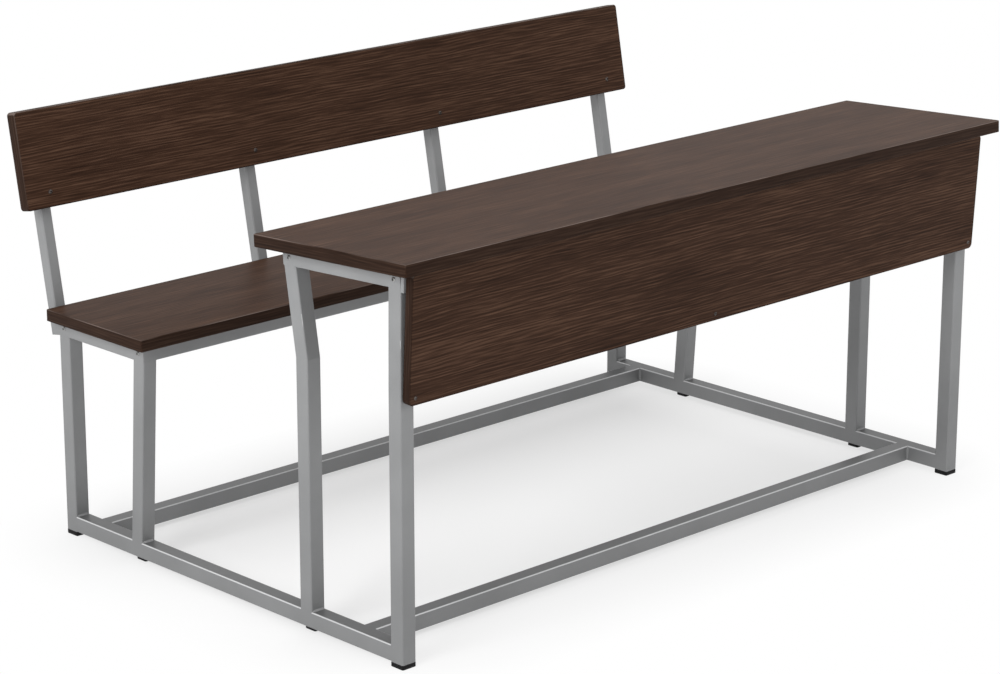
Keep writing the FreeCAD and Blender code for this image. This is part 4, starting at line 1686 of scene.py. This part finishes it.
@dataclass
class Stage:
    """The pale floor, the soft light and the camera.

    Attributes:
        floor_half: Half the floor's side.
        ambient: The strength of the light from all round.
        camera: Where the camera stands.
        pitch: How far the camera looks up from straight down, in degrees.
        heading: The way that it looks, turned from +Y, in degrees.
        lens: Its focal length in millimetres.
        sensor: The width of its sensor in millimetres.
        lights: The lamps.
    """

    floor_half: float = 40.0
    ambient: float = 0.50
    camera: tuple[float, float, float] = (-4.2301, -4.3640, 2.1360)
    pitch: float = 73.573
    heading: float = -43.825
    lens: float = 113.35
    sensor: float = 36.0
    lights: tuple[SoftLight, ...] = (
        SoftLight("left_lamp", place=(-6.4, -1.3, 3.5), target=(0.0, 0.0, 0.55), size=3.8, power=355.0),
        SoftLight("top_lamp", place=(0.4, 0.5, 3.8), target=(0.0, 0.0, 0.3), size=3.0, power=50.0),
        SoftLight("front_lamp", place=(1.0, -5.2, 2.6), target=(0.0, 0.0, 0.4), size=3.0, power=80.0),
    )

    def build_floor(self, finish: FloorFinish) -> None:
        """Lay the floor.

        Args:
            finish: The floor's finish.
        """
        maker = MeshMaker()
        side, corner = 2 * self.floor_half, self.floor_half / 2
        maker.mesh.faces.new([maker.mesh.verts.new(point) for point in rounded_ring(side, side, corner, 0.0)])
        floor = maker.piece("floor")
        floor.data.materials.append(finish.material())

    def build_world(self) -> None:
        """Light the object evenly from all round, in front of a white background."""
        world = bpy.data.worlds.new("studio")
        bpy.context.scene.world = world
        world.use_nodes = True
        tree = world.node_tree
        background = tree.nodes["Background"]
        background.inputs["Color"].default_value = WHITE
        strength = tree.nodes.new("ShaderNodeMapRange")
        strength.inputs["To Min"].default_value = self.ambient
        strength.inputs["To Max"].default_value = 1.0
        tree.links.new(seen_ray(tree), strength.inputs["Value"])
        tree.links.new(strength.outputs["Result"], background.inputs["Strength"])

    def build_camera(self) -> None:
        """Set up the camera at the photograph's viewing angle."""
        data = bpy.data.cameras.new("camera")
        data.sensor_width = self.sensor
        data.lens = self.lens
        data.clip_end = 4 * self.floor_half
        camera = bpy.data.objects.new("camera", data)
        camera.location = self.camera
        camera.rotation_euler = (math.radians(self.pitch), 0.0, math.radians(self.heading))
        bpy.context.scene.collection.objects.link(camera)
        bpy.context.scene.camera = camera

    def build(self) -> None:
        """Set up the whole stage."""
        self.build_floor(FloorFinish())
        self.build_world()
        for light in self.lights:
            light.build()
        self.build_camera()
        bpy.context.scene.view_settings.view_transform = "Standard"


def main() -> None:
    """Build and dress the unit, piece by piece."""
    logging.basicConfig(level=logging.INFO, format="%(name)s: %(message)s")
    coat = PaintFinish()
    paint = coat.material()
    # The weld paint's painted highlight has the coat's own colour, so the welds show none.
    weld_paint = PaintFinish("weld_paint", wear_and_highlight=coat.colour).material()
    plastic = PlasticFinish().material()
    Boards().build(LaminateFinish(), EDGE_BAND)
    for side in SIDES:
        EndFrame(side).build(paint, weld_paint)
    LongRails().build(paint)
    BackPosts().build(paint, weld_paint, plastic)
    Feet().build(plastic)
    Fasteners().build(SteelFinish().material(), LACQUER.material())
    Stage().build()


if __name__ == "__main__":
    main()
